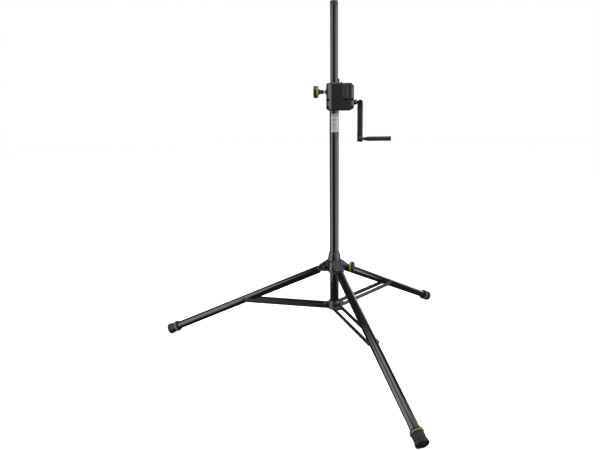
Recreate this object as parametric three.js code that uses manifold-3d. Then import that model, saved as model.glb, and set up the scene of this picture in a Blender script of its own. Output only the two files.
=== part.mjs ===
// A crank lighting stand: a rack-driven telescopic mast on a folding three-leg base.
// Millimetres, +Z up, +X towards the crank. The mast is built on the Z axis with the floor at Z = 0, and the
// finished group is then shifted so that its origin is the centre of the bounding box's bottom face.
import * as THREE from "three";
import { mergeVertices } from "three/addons/utils/BufferGeometryUtils.js";
import Module from "manifold-3d";

const wasm = await Module();
wasm.setup();

// ---- Fits ----
const GAP = 0.3; // between pieces that touch, screw together or slide
const SIDE_PLAY = 0.4; // on each side of a tongue in its fork
const OVERRUN = 1; // how far a cut runs past what it cuts, and a joined block into what it joins

// ---- Mast tubes ----
const MAST_TOP = 1607.5;
const MAST_TRAVEL = 800;
const INNER_RADIUS = 17.5;
const INNER_WALL = 2.5;
const GUIDE_SPACE = 1.75; // between the two tubes, where the guide bush runs
const OUTER_WALL = 2;
const MAST_BELOW_SPIDER = 13; // outer tube's foot below the brace pivots
const TOP_CAP_HEIGHT = 18.5;
const TOP_CAP_CHAMFER = 3.5;
const PLUG_DEPTH = 14; // how far the inner tube's end fittings reach into it
const PLUG_FLANGE = 4;
const END_PLUG_DEPTH = 12;
const SHOE_LENGTH = 3; // the inner guide's collar, which slides in the outer tube
const SHOE_CLEARANCE = 1.7; // above the end plug when the mast is down

// ---- Winch housing ----
const HOUSING_TOP = 1262.1;
const HOUSING_ABOVE_SHAFT = 84.7;
const HOUSING_BELOW_GEAR = 5.6; // clear space under the face gear
const HOUSING_LEFT_MARGIN = 14.75; // from the outer tube to the housing's left side
const HOUSING_PAST_GEAR = 38.5; // from the face gear's pitch circle to the housing's right side
const HOUSING_WALL = 4;
const LEFT_EDGE_ROUND = 26; // plan radius beside the mast
const RIGHT_EDGE_ROUND = 15; // plan radius beside the crank
const RIGHT_CHAMFER = 12;
const LEFT_CHAMFER = 4;
const TUBE_BELOW_HOUSING_TOP = 6.1;
const COLLAR_WALL = 5.5;
const TOP_COLLAR_HEIGHT = 24;
const BOTTOM_COLLAR_HEIGHT = 7;
const PANEL_FROM_PINION = 23; // centre of the raised obround panel on the cover
const PANEL_WIDTH = 24;
const PANEL_LENGTH = 67.1;
const PANEL_HEIGHT = 1.2;
const PANEL_RIM = 6; // around the slot in the raised panel
const PANEL_SLOT_RAISE = 2; // slot's lower end above the rim
const PANEL_SLOT_DROP = 3; // slot's upper end below the rim
const CASE_SCREW_RADIUS = 1.9;
const CASE_SCREW_HEAD = 4.5;
const CASE_SCREW_HEAD_HEIGHT = 3;
const CASE_BOSS_RADIUS = 6;
const UPPER_SCREW_RISE = 13.6; // screws above and below the crank shaft, on the right
const LOWER_SCREW_DROP = 18.4;
const LEFT_UPPER_SCREW_RISE = 12.6;
const LEFT_LOWER_SCREW_DROP = 20.4;
const CASE_SCREW_DEPTH = 20; // how far a screw reaches into the rear shell
const RIGHT_SCREW_INSET = 9;
const LEFT_SCREW_INSET = 8;
const POST_AZIMUTH = 35.27;
const POST_RADIUS = 3;
const POST_CLEARANCE = 0.85; // from the stop post to the outer tube's edge
const POST_HEIGHT = 20;
const BUSH_FLANGE = 3;

// ---- Rack drive ----
const RACK_MODULE = 2;
const PINION_TEETH = 12;
const RACK_WIDTH = 8;
const RACK_BACK = 3;
const RACK_RECESS = 0.5; // tooth tips below the inner tube's surface
const RACK_SPARE = 20; // rack beyond the pinion at each end of the travel
const RACK_SLOT_SPARE = 10; // slot in the inner tube beyond each end of the rack
const FACE_MODULE = 1.8;
const FACE_GEAR_TEETH = 25;
const FACE_GEAR_SPACE = 0.5; // at least this much from the face gear's tooth tips to the inner tube
const FACE_WIDTH = 5;
const CRANK_PINION_EXTRA = 2; // the crank pinion is wider than the face gear's teeth
const TOOTH_PLAY = 1; // taken off the thickness of every tooth
const TOOTH_ROOTED = 0.5; // how deep a face gear's tooth is set into its disc
const DISC_THICKNESS = 3;
const PINION_SHAFT_RADIUS = 4;
const CRANK_SHAFT_RADIUS = 5;
const BUSH_WALL = 2.7;
const BUSH_LENGTH = 5.8;
const SHAFT_BOSS_WALL = 3;
const CRANK_BUSH_WALL = 3.7;
const CRANK_BUSH_DEPTH = 8;
const CRANK_BUSH_FLANGE = 1.7;
const GEAR_CLEARANCE = 1; // between the face gear and the bush in front of it
const WINDOW_SPACE = 2.5; // above and below the face gear in the outer tube's window
const WINDOW_SIDE_SPACE = 2; // beside the face gear in that window

// ---- Crank ----
const CRANK_RADIUS = 161.5;
const ARM_FROM_HOUSING = 28; // arm centre line and fold pivot
const ARM_WIDTH = 25;
const ARM_DEPTH = 16;
const ARM_EDGE_ROUND = 5;
const HEAD_RADIUS = 12;
const FORK_DEPTH = 14.4; // from the fold pivot down to the floor of the fork
const TONGUE_THICKNESS = 8;
const TONGUE_INSET = 1; // the tongue is narrower than the hub
const HUB_RADIUS = 10;
const HUB_CHAMFER = 2.5;
const CRANK_SHAFT_END = 15; // short of the fold pivot
const FOLD_PIN_RADIUS = 3;
const FOLD_PIN_HEAD = 5;
const FOLD_PIN_HEAD_HEIGHT = 2;
const GRUB_RADIUS = 2.5;
const GRUB_HEAD = 3.5;
const GRUB_PROUD = 4;
const BAND_ABOVE_HANDLE = 24.1;
const BAND_HEIGHT = 7;
const BAND_PROUD = 0.7;
const ELBOW_BELOW = 13; // elbow below the handle's axis
const SPINDLE_RADIUS = 5;
const SPINDLE_DEPTH = 8; // how far the spindle reaches past the arm's centre line
const GRIP_FROM_ARM = 15;
const GRIP_LENGTH = 117;
const GRIP_SHOULDER = 22; // from the grip's start to its full size
const GRIP_RADIUS = 10;
const GRIP_NECK_RADIUS = 7;
const GRIP_NECK_FLARE = 0.5;
const GRIP_NECK_LENGTH = 8;
const GRIP_CAP_LENGTH = 7;
const GRIP_CAP_RADIUS = 11;
const GRIP_CAP_CHAMFER = 2;

// ---- Clamp knobs ----
const KNOB_RADIUS = 26.5;
const KNOB_CHAMFER = 3;
const KNOB_CAP_LENGTH = 12.5;
const KNOB_RING_LENGTH = 10.5;
const KNOB_RING_BORE = 18;
const KNOB_TAPER = 9; // from the ring down to the neck
const KNOB_NECK_LENGTH = 21.5;
const KNOB_NECK_RADIUS = 8.75;
const KNOB_FOOT_RADIUS = 10;
const KNOB_FOOT_LENGTH = 2;
const SCREW_RADIUS = 3.7;
const PAD_RADIUS = 5;
const PAD_LENGTH = 4.4;
const PAD_TRAVEL = 2.5;
const PAD_CLEARANCE = 5; // from the brake pad's edge up to the guide bush
const BRAKE_BELOW_TOP = 37.4; // brake knob's axis below the housing's top
const BRAKE_FROM_HOUSING = 56; // from the housing's side to the knob's outer face
const BRAKE_BOSS_RADIUS = 9;
const BRAKE_CONE_RADIUS = 12.5;
const BRAKE_CONE_HEIGHT = 4;
const CLAMP_ABOVE_HUB = 31;
const CLAMP_FROM_BOSS = 53; // from the hub's clamp boss to the knob's outer face
const CLAMP_AZIMUTH = 350.45;

// ---- Tripod ----
const LEG_AZIMUTHS = { left: 170.45, front: 290.45, right: 50.45 };
const LEG_SLOPE = THREE.MathUtils.degToRad(25.06); // below the horizontal when the base is open
const LEG_RADIUS = 19;
const LEG_WALL = 2;
const LEG_FLANGE = 3.2;
const LEG_PLUG_LENGTH = 32;
const RING_R = 834; // from the mast's axis to the middle of the foot ring
const TONGUE_RADIUS = 11.5;
const TONGUE_CLEARANCE = 0.45; // from a leg's tongue to the hub's sleeve
const LEG_START_CLEARANCE = 2.5; // from a hood to the leg that turns round it
const HUB_BELOW_PIVOT = 28.4;
const HUB_ABOVE_PIVOT = 75;
const BELL_WIDEST_ABOVE_PIVOT = 45.6;
const BELL_BAND = 8; // the upright band at the bell's widest
const BELL_FLARE = 6; // from the sleeve out to that band
const BELL_NECK_STEP = 5; // bell's neck inside and below its shoulder
const BELL_LIP = 1.5; // left around the bore at the top
const HUB_EDGE = 2; // chamfer at the sleeve's foot, the bell's shoulder and the clamp boss
const BELL_CROWN = 14; // from the band up to the crown's first slope
const BELL_WALL = 8.95;
const SLEEVE_WALL = 6.5;
const HOOD_RADIUS = 36;
const HOOD_WALL = 4;
const HOOD_BELOW_PIVOT = 19.4;
const HOOD_WIDTH = 41;
const HOOD_ROOF_RISE = 35; // roof's height above the pivot where it leaves the bell
const HOOD_ROOF_SLOPE = THREE.MathUtils.degToRad(34.5);
const CHEEK = 5.2;
const BOLT_RADIUS = 4;
const BOLT_HEAD_RADIUS = 7;
const BOLT_HEAD_HEIGHT = 4;
const BOLT_END = 2; // thread past the hub's far cheek
const CLAMP_BOSS_ROOT = 10; // where it starts, inside the bore that is cut later
const CLAMP_BOSS_RADIUS = 13;
const CLAMP_BOSS_LENGTH = 21.45; // from the mast out to the boss's face

// ---- Feet ----
const FOOT_RADIUS = 25;
const FOOT_END_RADIUS = 27;
const FOOT_BEYOND_RING = 48;
const FOOT_BEFORE_RING = 11;
const FOOT_END_WALL = 9;
const FOOT_END_BAND = 10;
const FOOT_END_FLARE = 4;
const FOOT_EDGE_ROUND = 2;
const FOOT_MOUTH_ROUND = 1.5;
const FOOT_RING_RADIUS = 27.4;
const FOOT_RING_WIDTH = 4;
const FOOT_RING_DEPTH = 4;
const SOLE_CUT = 4.66; // how deep the floor plane cuts into the foot's end

// ---- Braces and spider ----
const BRACE_R = 455; // from the mast's axis to the brace's pivot on the leg
const BAR_HEIGHT = 20;
const BAR_THICKNESS = 3;
const BAR_PLAY = 0.5; // between a bar and the leg that it straddles
const SPIDER_Z = 216;
const SPIDER_BELOW_PIVOT = 16;
const SPIDER_ABOVE_PIVOT = 28;
const SPIDER_WALL = 8;
const SPIDER_FOOT_CHAMFER = 3;
const SPIDER_CROWN = 12;
const SPIDER_CROWN_INSET = 4;
const BAR_END_CLEARANCE = 5.45; // from a bar's round end to the spider's barrel
const LUG_RADIUS = 11;
const LUG_WEB = 8; // extra height of a lug where it leaves the barrel
const TRUNNION_RADIUS = 4;
const TRUNNION_PROUD = 1;

// ---- Materials ----
const finish = (color, roughness, metalness) =>
  new THREE.MeshStandardMaterial({ color, roughness, metalness });
const BLACK_TUBE = finish(0x1b1b1c, 0.35, 0.6);
const BLACK_CASTING = finish(0x262627, 0.5, 0.3);
const BLACK_PLASTIC = finish(0x1c1c1d, 0.55, 0);
const BLACK_RUBBER = finish(0x141414, 0.8, 0);
const GREEN_PLASTIC = finish(0x6f9a2c, 0.5, 0);
const BLACK_STEEL = finish(0x202021, 0.4, 0.8);
const BRIGHT_STEEL = finish(0x9a9a98, 0.35, 1);
const BRONZE = finish(0x9b7a4a, 0.4, 1);
const NYLON = finish(0xd8d6cc, 0.6, 0);

const TUBE_SIDES = 24;
const SMALL_SIDES = 12;

// ---- Solids ----

// The closed solid of a three.js geometry.
function solid(geometry) {
  const plain = geometry.index ? geometry.toNonIndexed() : geometry.clone();
  plain.deleteAttribute("normal");
  plain.deleteAttribute("uv");
  const merged = mergeVertices(plain, 1e-3);
  const mesh = new wasm.Mesh({
    numProp: 3,
    vertProperties: merged.attributes.position.array,
    triVerts: new Uint32Array(merged.index.array),
  });
  return new wasm.Manifold(mesh);
}

// The three.js geometry of a solid.
function geometryOf(shape) {
  const { vertProperties, triVerts } = shape.getMesh();
  const geometry = new THREE.BufferGeometry();
  geometry.setAttribute("position", new THREE.BufferAttribute(new Float32Array(vertProperties), 3));
  geometry.setIndex(new THREE.BufferAttribute(new Uint32Array(triVerts), 1));
  geometry.computeVertexNormals();
  return geometry;
}

const join = (first, ...others) => others.reduce((shape, other) => shape.add(other), first);
const cut = (first, ...others) => others.reduce((shape, other) => shape.subtract(other), first);

// A body turned about Z from a closed outline of [radius, height] pairs, listed anticlockwise.
function turned(outline, sides = TUBE_SIDES) {
  const points = [...outline, outline[0]].map(([radius, height]) => new THREE.Vector2(radius, height));
  return new THREE.LatheGeometry(points, sides).rotateX(Math.PI / 2);
}

const disc = (radius, low, high, sides) =>
  turned([[0, low], [radius, low], [radius, high], [0, high]], sides);
const ring = (bore, radius, low, high, sides) =>
  turned([[bore, low], [radius, low], [radius, high], [bore, high]], sides);

// Turn a body that stands along Z so that it lies along X or along Y.
const alongX = (geometry) => geometry.rotateY(Math.PI / 2);
const alongY = (geometry) => geometry.rotateX(-Math.PI / 2);

const block = (x0, x1, y0, y1, z0, z1) =>
  new THREE.BoxGeometry(x1 - x0, y1 - y0, z1 - z0).translate((x0 + x1) / 2, (y0 + y1) / 2, (z0 + z1) / 2);

// A flat plate whose outline lies in the XZ plane, centred on Y = 0.
function plate(shape, thickness, curveSegments = 8) {
  const settings = { depth: thickness, bevelEnabled: false, curveSegments };
  return new THREE.ExtrudeGeometry(shape, settings).rotateX(Math.PI / 2).translate(0, thickness / 2, 0);
}

function piece(name, shape, material, parent) {
  const geometry = shape.isBufferGeometry ? shape : geometryOf(shape);
  const mesh = new THREE.Mesh(geometry, material);
  mesh.name = name;
  parent.add(mesh);
  return mesh;
}

const turnedGroup = (parent, degrees) => {
  const group = new THREE.Group();
  group.rotation.z = THREE.MathUtils.degToRad(degrees);
  parent.add(group);
  return group;
};

// Tooth tips and roots, measured from the pitch line.
const tipOf = (module) => 0.8 * module;
const rootOf = (module) => -1.15 * module;

// ---- Sizes that follow from the ones above ----
const INNER_BORE = INNER_RADIUS - INNER_WALL;
const INNER_TOP = MAST_TOP - TOP_CAP_HEIGHT - GAP;
const OUTER_BORE = INNER_RADIUS + GUIDE_SPACE;
const OUTER_RADIUS = OUTER_BORE + OUTER_WALL;
const SLIDE_BORE = OUTER_RADIUS + GAP; // bore of what slides or clamps on the outer tube
const OUTER_BOTTOM = SPIDER_Z - MAST_BELOW_SPIDER;
const OUTER_TOP = HOUSING_TOP - TUBE_BELOW_HOUSING_TOP;
const INNER_BOTTOM = OUTER_BOTTOM + END_PLUG_DEPTH + SHOE_CLEARANCE + SHOE_LENGTH + GAP;

const SHAFT_Z = HOUSING_TOP - HOUSING_ABOVE_SHAFT; // height of the crank shaft and of the pinion shaft
const RACK_TIP_X = INNER_RADIUS - RACK_RECESS;
const PINION_PITCH = (RACK_MODULE * PINION_TEETH) / 2;
const PINION_X = RACK_TIP_X - RACK_MODULE + PINION_PITCH;
const RACK_PITCH = Math.PI * RACK_MODULE;
const RACK_BOTTOM = SHAFT_Z - MAST_TRAVEL - RACK_SPARE;
const RACK_TOP = SHAFT_Z + RACK_SPARE;
const FACE_GEAR_PITCH = (FACE_MODULE * FACE_GEAR_TEETH) / 2;
const FACE_GEAR_RIM = FACE_GEAR_PITCH + FACE_WIDTH / 2;
// The crank pinion has the teeth that it takes to hold the face gear clear of the inner tube.
const CRANK_PINION_TEETH = Math.ceil(
  (2 * (INNER_RADIUS + FACE_GEAR_SPACE + tipOf(FACE_MODULE))) / FACE_MODULE);
const CRANK_PINION_PITCH = (FACE_MODULE * CRANK_PINION_TEETH) / 2;
const FACE_GEAR_BACK = CRANK_PINION_PITCH - rootOf(FACE_MODULE) + DISC_THICKNESS;

const HOUSING_BOTTOM = SHAFT_Z - FACE_GEAR_RIM - HOUSING_WALL - HOUSING_BELOW_GEAR;
const HOUSING_LEFT = -OUTER_RADIUS - HOUSING_LEFT_MARGIN;
const HOUSING_RIGHT = PINION_X + FACE_GEAR_PITCH + HOUSING_PAST_GEAR;
const HOUSING_HALF_DEPTH = FACE_GEAR_BACK + GEAR_CLEARANCE + BUSH_LENGTH + GAP + HOUSING_WALL;
const PANEL_X = PINION_X + PANEL_FROM_PINION;
const PANEL_BOTTOM = HOUSING_TOP - OVERRUN - PANEL_LENGTH;
const CASE_SCREWS = [
  { name: "housing_screw_upper_right", x: HOUSING_RIGHT - RIGHT_SCREW_INSET, z: SHAFT_Z + UPPER_SCREW_RISE },
  { name: "housing_screw_lower_right", x: HOUSING_RIGHT - RIGHT_SCREW_INSET, z: SHAFT_Z - LOWER_SCREW_DROP },
  { name: "housing_screw_upper_left", x: HOUSING_LEFT + LEFT_SCREW_INSET, z: SHAFT_Z + LEFT_UPPER_SCREW_RISE },
  { name: "housing_screw_lower_left", x: HOUSING_LEFT + LEFT_SCREW_INSET, z: SHAFT_Z - LEFT_LOWER_SCREW_DROP },
];
const POST_R = OUTER_RADIUS + POST_CLEARANCE + POST_RADIUS;
const POST_X = POST_R * Math.cos(THREE.MathUtils.degToRad(POST_AZIMUTH));
const POST_Y = POST_R * Math.sin(THREE.MathUtils.degToRad(POST_AZIMUTH));
const BRAKE_Z = HOUSING_TOP - BRAKE_BELOW_TOP;
const BRAKE_FACE = BRAKE_FROM_HOUSING - HOUSING_LEFT;

const CRANK_X = HOUSING_RIGHT + ARM_FROM_HOUSING;
const CRANK_HUB_START = HOUSING_RIGHT + GAP + CRANK_BUSH_FLANGE + GAP;
const CRANK_HUB_END = CRANK_X - HEAD_RADIUS - OVERRUN;
const HANDLE_Z = SHAFT_Z - CRANK_RADIUS;
const BAND_TOP = HANDLE_Z + BAND_ABOVE_HANDLE;
const GRIP_START = CRANK_X + GRIP_FROM_ARM;
const GRIP_END = GRIP_START + GRIP_LENGTH;

const SLEEVE_RADIUS = SLIDE_BORE + SLEEVE_WALL;
const BELL_RADIUS = SLIDE_BORE + BELL_WALL;
const PIVOT_R = SLEEVE_RADIUS + TONGUE_CLEARANCE + TONGUE_RADIUS;
const FOOT_RING_Z = FOOT_BEYOND_RING * Math.sin(LEG_SLOPE) + FOOT_END_RADIUS * Math.cos(LEG_SLOPE) - SOLE_CUT;
const PIVOT_Z = FOOT_RING_Z + (RING_R - PIVOT_R) * Math.tan(LEG_SLOPE);
const HUB_BOTTOM = PIVOT_Z - HUB_BELOW_PIVOT;
const HUB_TOP = PIVOT_Z + HUB_ABOVE_PIVOT;
const BELL_WIDEST_Z = PIVOT_Z + BELL_WIDEST_ABOVE_PIVOT;
const CLAMP_BOSS_REACH = SLIDE_BORE + CLAMP_BOSS_LENGTH;
const CLAMP_FACE = CLAMP_BOSS_REACH + CLAMP_FROM_BOSS;
const LEG_TUBE_START = HOOD_RADIUS + LEG_START_CLEARANCE + LEG_FLANGE + GAP; // along the leg from its pivot

const SPIDER_BARREL = SLIDE_BORE + SPIDER_WALL;
const SPIDER_R = SPIDER_BARREL + BAR_END_CLEARANCE + BAR_HEIGHT / 2;
const SPIDER_BOTTOM = SPIDER_Z - SPIDER_BELOW_PIVOT;
const SPIDER_TOP = SPIDER_Z + SPIDER_ABOVE_PIVOT;
const BRACE_Z = PIVOT_Z - (BRACE_R - PIVOT_R) * Math.tan(LEG_SLOPE);
const BRACE_LENGTH = Math.hypot(BRACE_R - SPIDER_R, BRACE_Z - SPIDER_Z);
const BAR_OFFSET = LEG_RADIUS + BAR_PLAY + BAR_THICKNESS / 2;

// ---- Gears ----

// Half the width of a tooth at a height above its pitch line, with 20 degree flanks.
function toothHalfWidth(module, above) {
  return (Math.PI * module) / 4 - TOOTH_PLAY / 2 - above * Math.tan(THREE.MathUtils.degToRad(20));
}

// A tooth's corners in order: the side of its middle, and the height above the pitch line.
function toothCorners(module) {
  return [[-1, rootOf(module)], [-1, tipOf(module)], [1, tipOf(module)], [1, rootOf(module)]];
}

// The outline of a spur gear, with one tooth centred on the angle given.
function gearShape(module, teeth, toothAngle) {
  const pitch = (module * teeth) / 2;
  const points = [];
  for (let tooth = 0; tooth < teeth; tooth += 1) {
    const middle = toothAngle + (2 * Math.PI * tooth) / teeth;
    for (const [side, above] of toothCorners(module)) {
      const radius = pitch + above;
      const angle = middle + (side * toothHalfWidth(module, above)) / pitch;
      points.push(new THREE.Vector2(radius * Math.cos(angle), radius * Math.sin(angle)));
    }
  }
  return new THREE.Shape(points);
}

// The rack's outline in the XZ plane, with a gap between two teeth at the pinion's height.
function rackShape() {
  const pitchX = RACK_TIP_X - tipOf(RACK_MODULE);
  const rootX = pitchX + rootOf(RACK_MODULE);
  const backX = rootX - RACK_BACK;
  const points = [new THREE.Vector2(backX, RACK_TOP), new THREE.Vector2(backX, RACK_BOTTOM)];
  points.push(new THREE.Vector2(rootX, RACK_BOTTOM));
  const first = Math.ceil((RACK_BOTTOM - SHAFT_Z) / RACK_PITCH + 0.1);
  const last = Math.floor((RACK_TOP - SHAFT_Z) / RACK_PITCH - 1.1);
  for (let tooth = first; tooth <= last; tooth += 1) {
    const middle = SHAFT_Z + (tooth + 0.5) * RACK_PITCH;
    for (const [side, above] of toothCorners(RACK_MODULE)) {
      points.push(new THREE.Vector2(pitchX + above, middle + side * toothHalfWidth(RACK_MODULE, above)));
    }
  }
  points.push(new THREE.Vector2(rootX, RACK_TOP));
  return new THREE.Shape(points);
}

// ---- Outer tube, its plug and the spider ----

function buildOuterTube(parent) {
  const tube = solid(ring(OUTER_BORE, OUTER_RADIUS, OUTER_BOTTOM, OUTER_TOP));
  const reach = FACE_GEAR_RIM + WINDOW_SPACE;
  const gearWindow = solid(block(PINION_X - FACE_GEAR_RIM - WINDOW_SIDE_SPACE, OUTER_RADIUS + OVERRUN,
    -OUTER_RADIUS - OVERRUN, RACK_WIDTH, SHAFT_Z - reach, SHAFT_Z + reach));
  const wallOutside = -OUTER_RADIUS - OVERRUN;
  const padHole = solid(alongX(disc(PAD_RADIUS + GAP, wallOutside, -OUTER_BORE + OVERRUN, SMALL_SIDES))
    .translate(0, 0, BRAKE_Z));
  piece("outer_tube", cut(tube, gearWindow, padHole), BLACK_TUBE, parent);
}

function buildEndPlug(parent) {
  const low = OUTER_BOTTOM - GAP - PLUG_FLANGE;
  const outline = [[0, low], [OUTER_RADIUS, low], [OUTER_RADIUS, OUTER_BOTTOM - GAP]];
  outline.push([OUTER_BORE - GAP, OUTER_BOTTOM - GAP], [OUTER_BORE - GAP, OUTER_BOTTOM + END_PLUG_DEPTH]);
  outline.push([0, OUTER_BOTTOM + END_PLUG_DEPTH]);
  piece("mast_end_plug", turned(outline), BLACK_PLASTIC, parent);
}

function buildSpider(parent) {
  const lugHalfWidth = BAR_OFFSET - BAR_THICKNESS / 2 - GAP;
  const lugShape = new THREE.Shape();
  lugShape.moveTo(SLIDE_BORE + OVERRUN, SPIDER_Z - LUG_RADIUS);
  lugShape.lineTo(SPIDER_R, SPIDER_Z - LUG_RADIUS);
  lugShape.absarc(SPIDER_R, SPIDER_Z, LUG_RADIUS, -Math.PI / 2, Math.PI / 2, false);
  lugShape.lineTo(SLIDE_BORE + OVERRUN, SPIDER_Z + LUG_RADIUS + LUG_WEB);
  const trunnionReach = BAR_OFFSET + BAR_THICKNESS / 2 + TRUNNION_PROUD;
  const lug = solid(plate(lugShape, 2 * lugHalfWidth));
  const trunnion = solid(alongY(disc(TRUNNION_RADIUS, -trunnionReach, trunnionReach, SMALL_SIDES))
    .translate(SPIDER_R, 0, SPIDER_Z));
  const arm = join(lug, trunnion);
  const barrelOutline = [[0, SPIDER_BOTTOM], [SPIDER_BARREL - SPIDER_FOOT_CHAMFER, SPIDER_BOTTOM]];
  barrelOutline.push([SPIDER_BARREL, SPIDER_BOTTOM + SPIDER_FOOT_CHAMFER]);
  barrelOutline.push([SPIDER_BARREL, SPIDER_TOP - SPIDER_CROWN]);
  barrelOutline.push([SPIDER_BARREL - SPIDER_CROWN_INSET, SPIDER_TOP], [0, SPIDER_TOP]);
  const arms = Object.values(LEG_AZIMUTHS).map((azimuth) => arm.rotate([0, 0, azimuth]));
  const bore = solid(disc(SLIDE_BORE, SPIDER_BOTTOM - OVERRUN, SPIDER_TOP + OVERRUN));
  piece("spider", cut(join(solid(turned(barrelOutline)), ...arms), bore), BLACK_CASTING, parent);
}

// ---- Winch housing ----

// The outside of the housing, or its inside when shrunk by the wall.
function housingBlank(shrink) {
  const left = HOUSING_LEFT + shrink;
  const right = HOUSING_RIGHT - shrink;
  const low = HOUSING_BOTTOM + shrink;
  const high = HOUSING_TOP - shrink;
  const half = HOUSING_HALF_DEPTH - shrink;
  const leftRound = LEFT_EDGE_ROUND - shrink;
  const rightRound = RIGHT_EDGE_ROUND - shrink;
  const front = new THREE.Shape([
    new THREE.Vector2(left + LEFT_CHAMFER, low),
    new THREE.Vector2(right - RIGHT_CHAMFER, low),
    new THREE.Vector2(right, low + RIGHT_CHAMFER),
    new THREE.Vector2(right, high - RIGHT_CHAMFER),
    new THREE.Vector2(right - RIGHT_CHAMFER, high),
    new THREE.Vector2(left + LEFT_CHAMFER, high),
    new THREE.Vector2(left, high - LEFT_CHAMFER),
    new THREE.Vector2(left, low + LEFT_CHAMFER),
  ]);
  const plan = new THREE.Shape();
  plan.moveTo(left + leftRound, -half);
  plan.lineTo(right - rightRound, -half);
  plan.absarc(right - rightRound, -half + rightRound, rightRound, -Math.PI / 2, 0, false);
  plan.absarc(right - rightRound, half - rightRound, rightRound, 0, Math.PI / 2, false);
  plan.absarc(left + leftRound, half - leftRound, leftRound, Math.PI / 2, Math.PI, false);
  plan.absarc(left + leftRound, -half + leftRound, leftRound, Math.PI, 1.5 * Math.PI, false);
  const settings = { depth: high - low, bevelEnabled: false, curveSegments: 6 };
  const column = new THREE.ExtrudeGeometry(plan, settings).translate(0, 0, low);
  return solid(plate(front, 4 * half)).intersect(solid(column));
}

// How far forward the curved front of the housing reaches at X.
function frontAt(x) {
  const leftCentre = HOUSING_LEFT + LEFT_EDGE_ROUND;
  const rightCentre = HOUSING_RIGHT - RIGHT_EDGE_ROUND;
  const away = x < leftCentre ? leftCentre - x : Math.max(0, x - rightCentre);
  const radius = x < leftCentre ? LEFT_EDGE_ROUND : RIGHT_EDGE_ROUND;
  return -HOUSING_HALF_DEPTH + radius - Math.sqrt(radius * radius - away * away);
}

const screwSeat = ({ x }) => frontAt(x) + HOUSING_WALL;

function obround(centreX, low, high, width) {
  const radius = width / 2;
  const shape = new THREE.Shape();
  shape.absarc(centreX, low + radius, radius, Math.PI, 2 * Math.PI, false);
  shape.absarc(centreX, high - radius, radius, 0, Math.PI, false);
  return shape;
}

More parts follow.
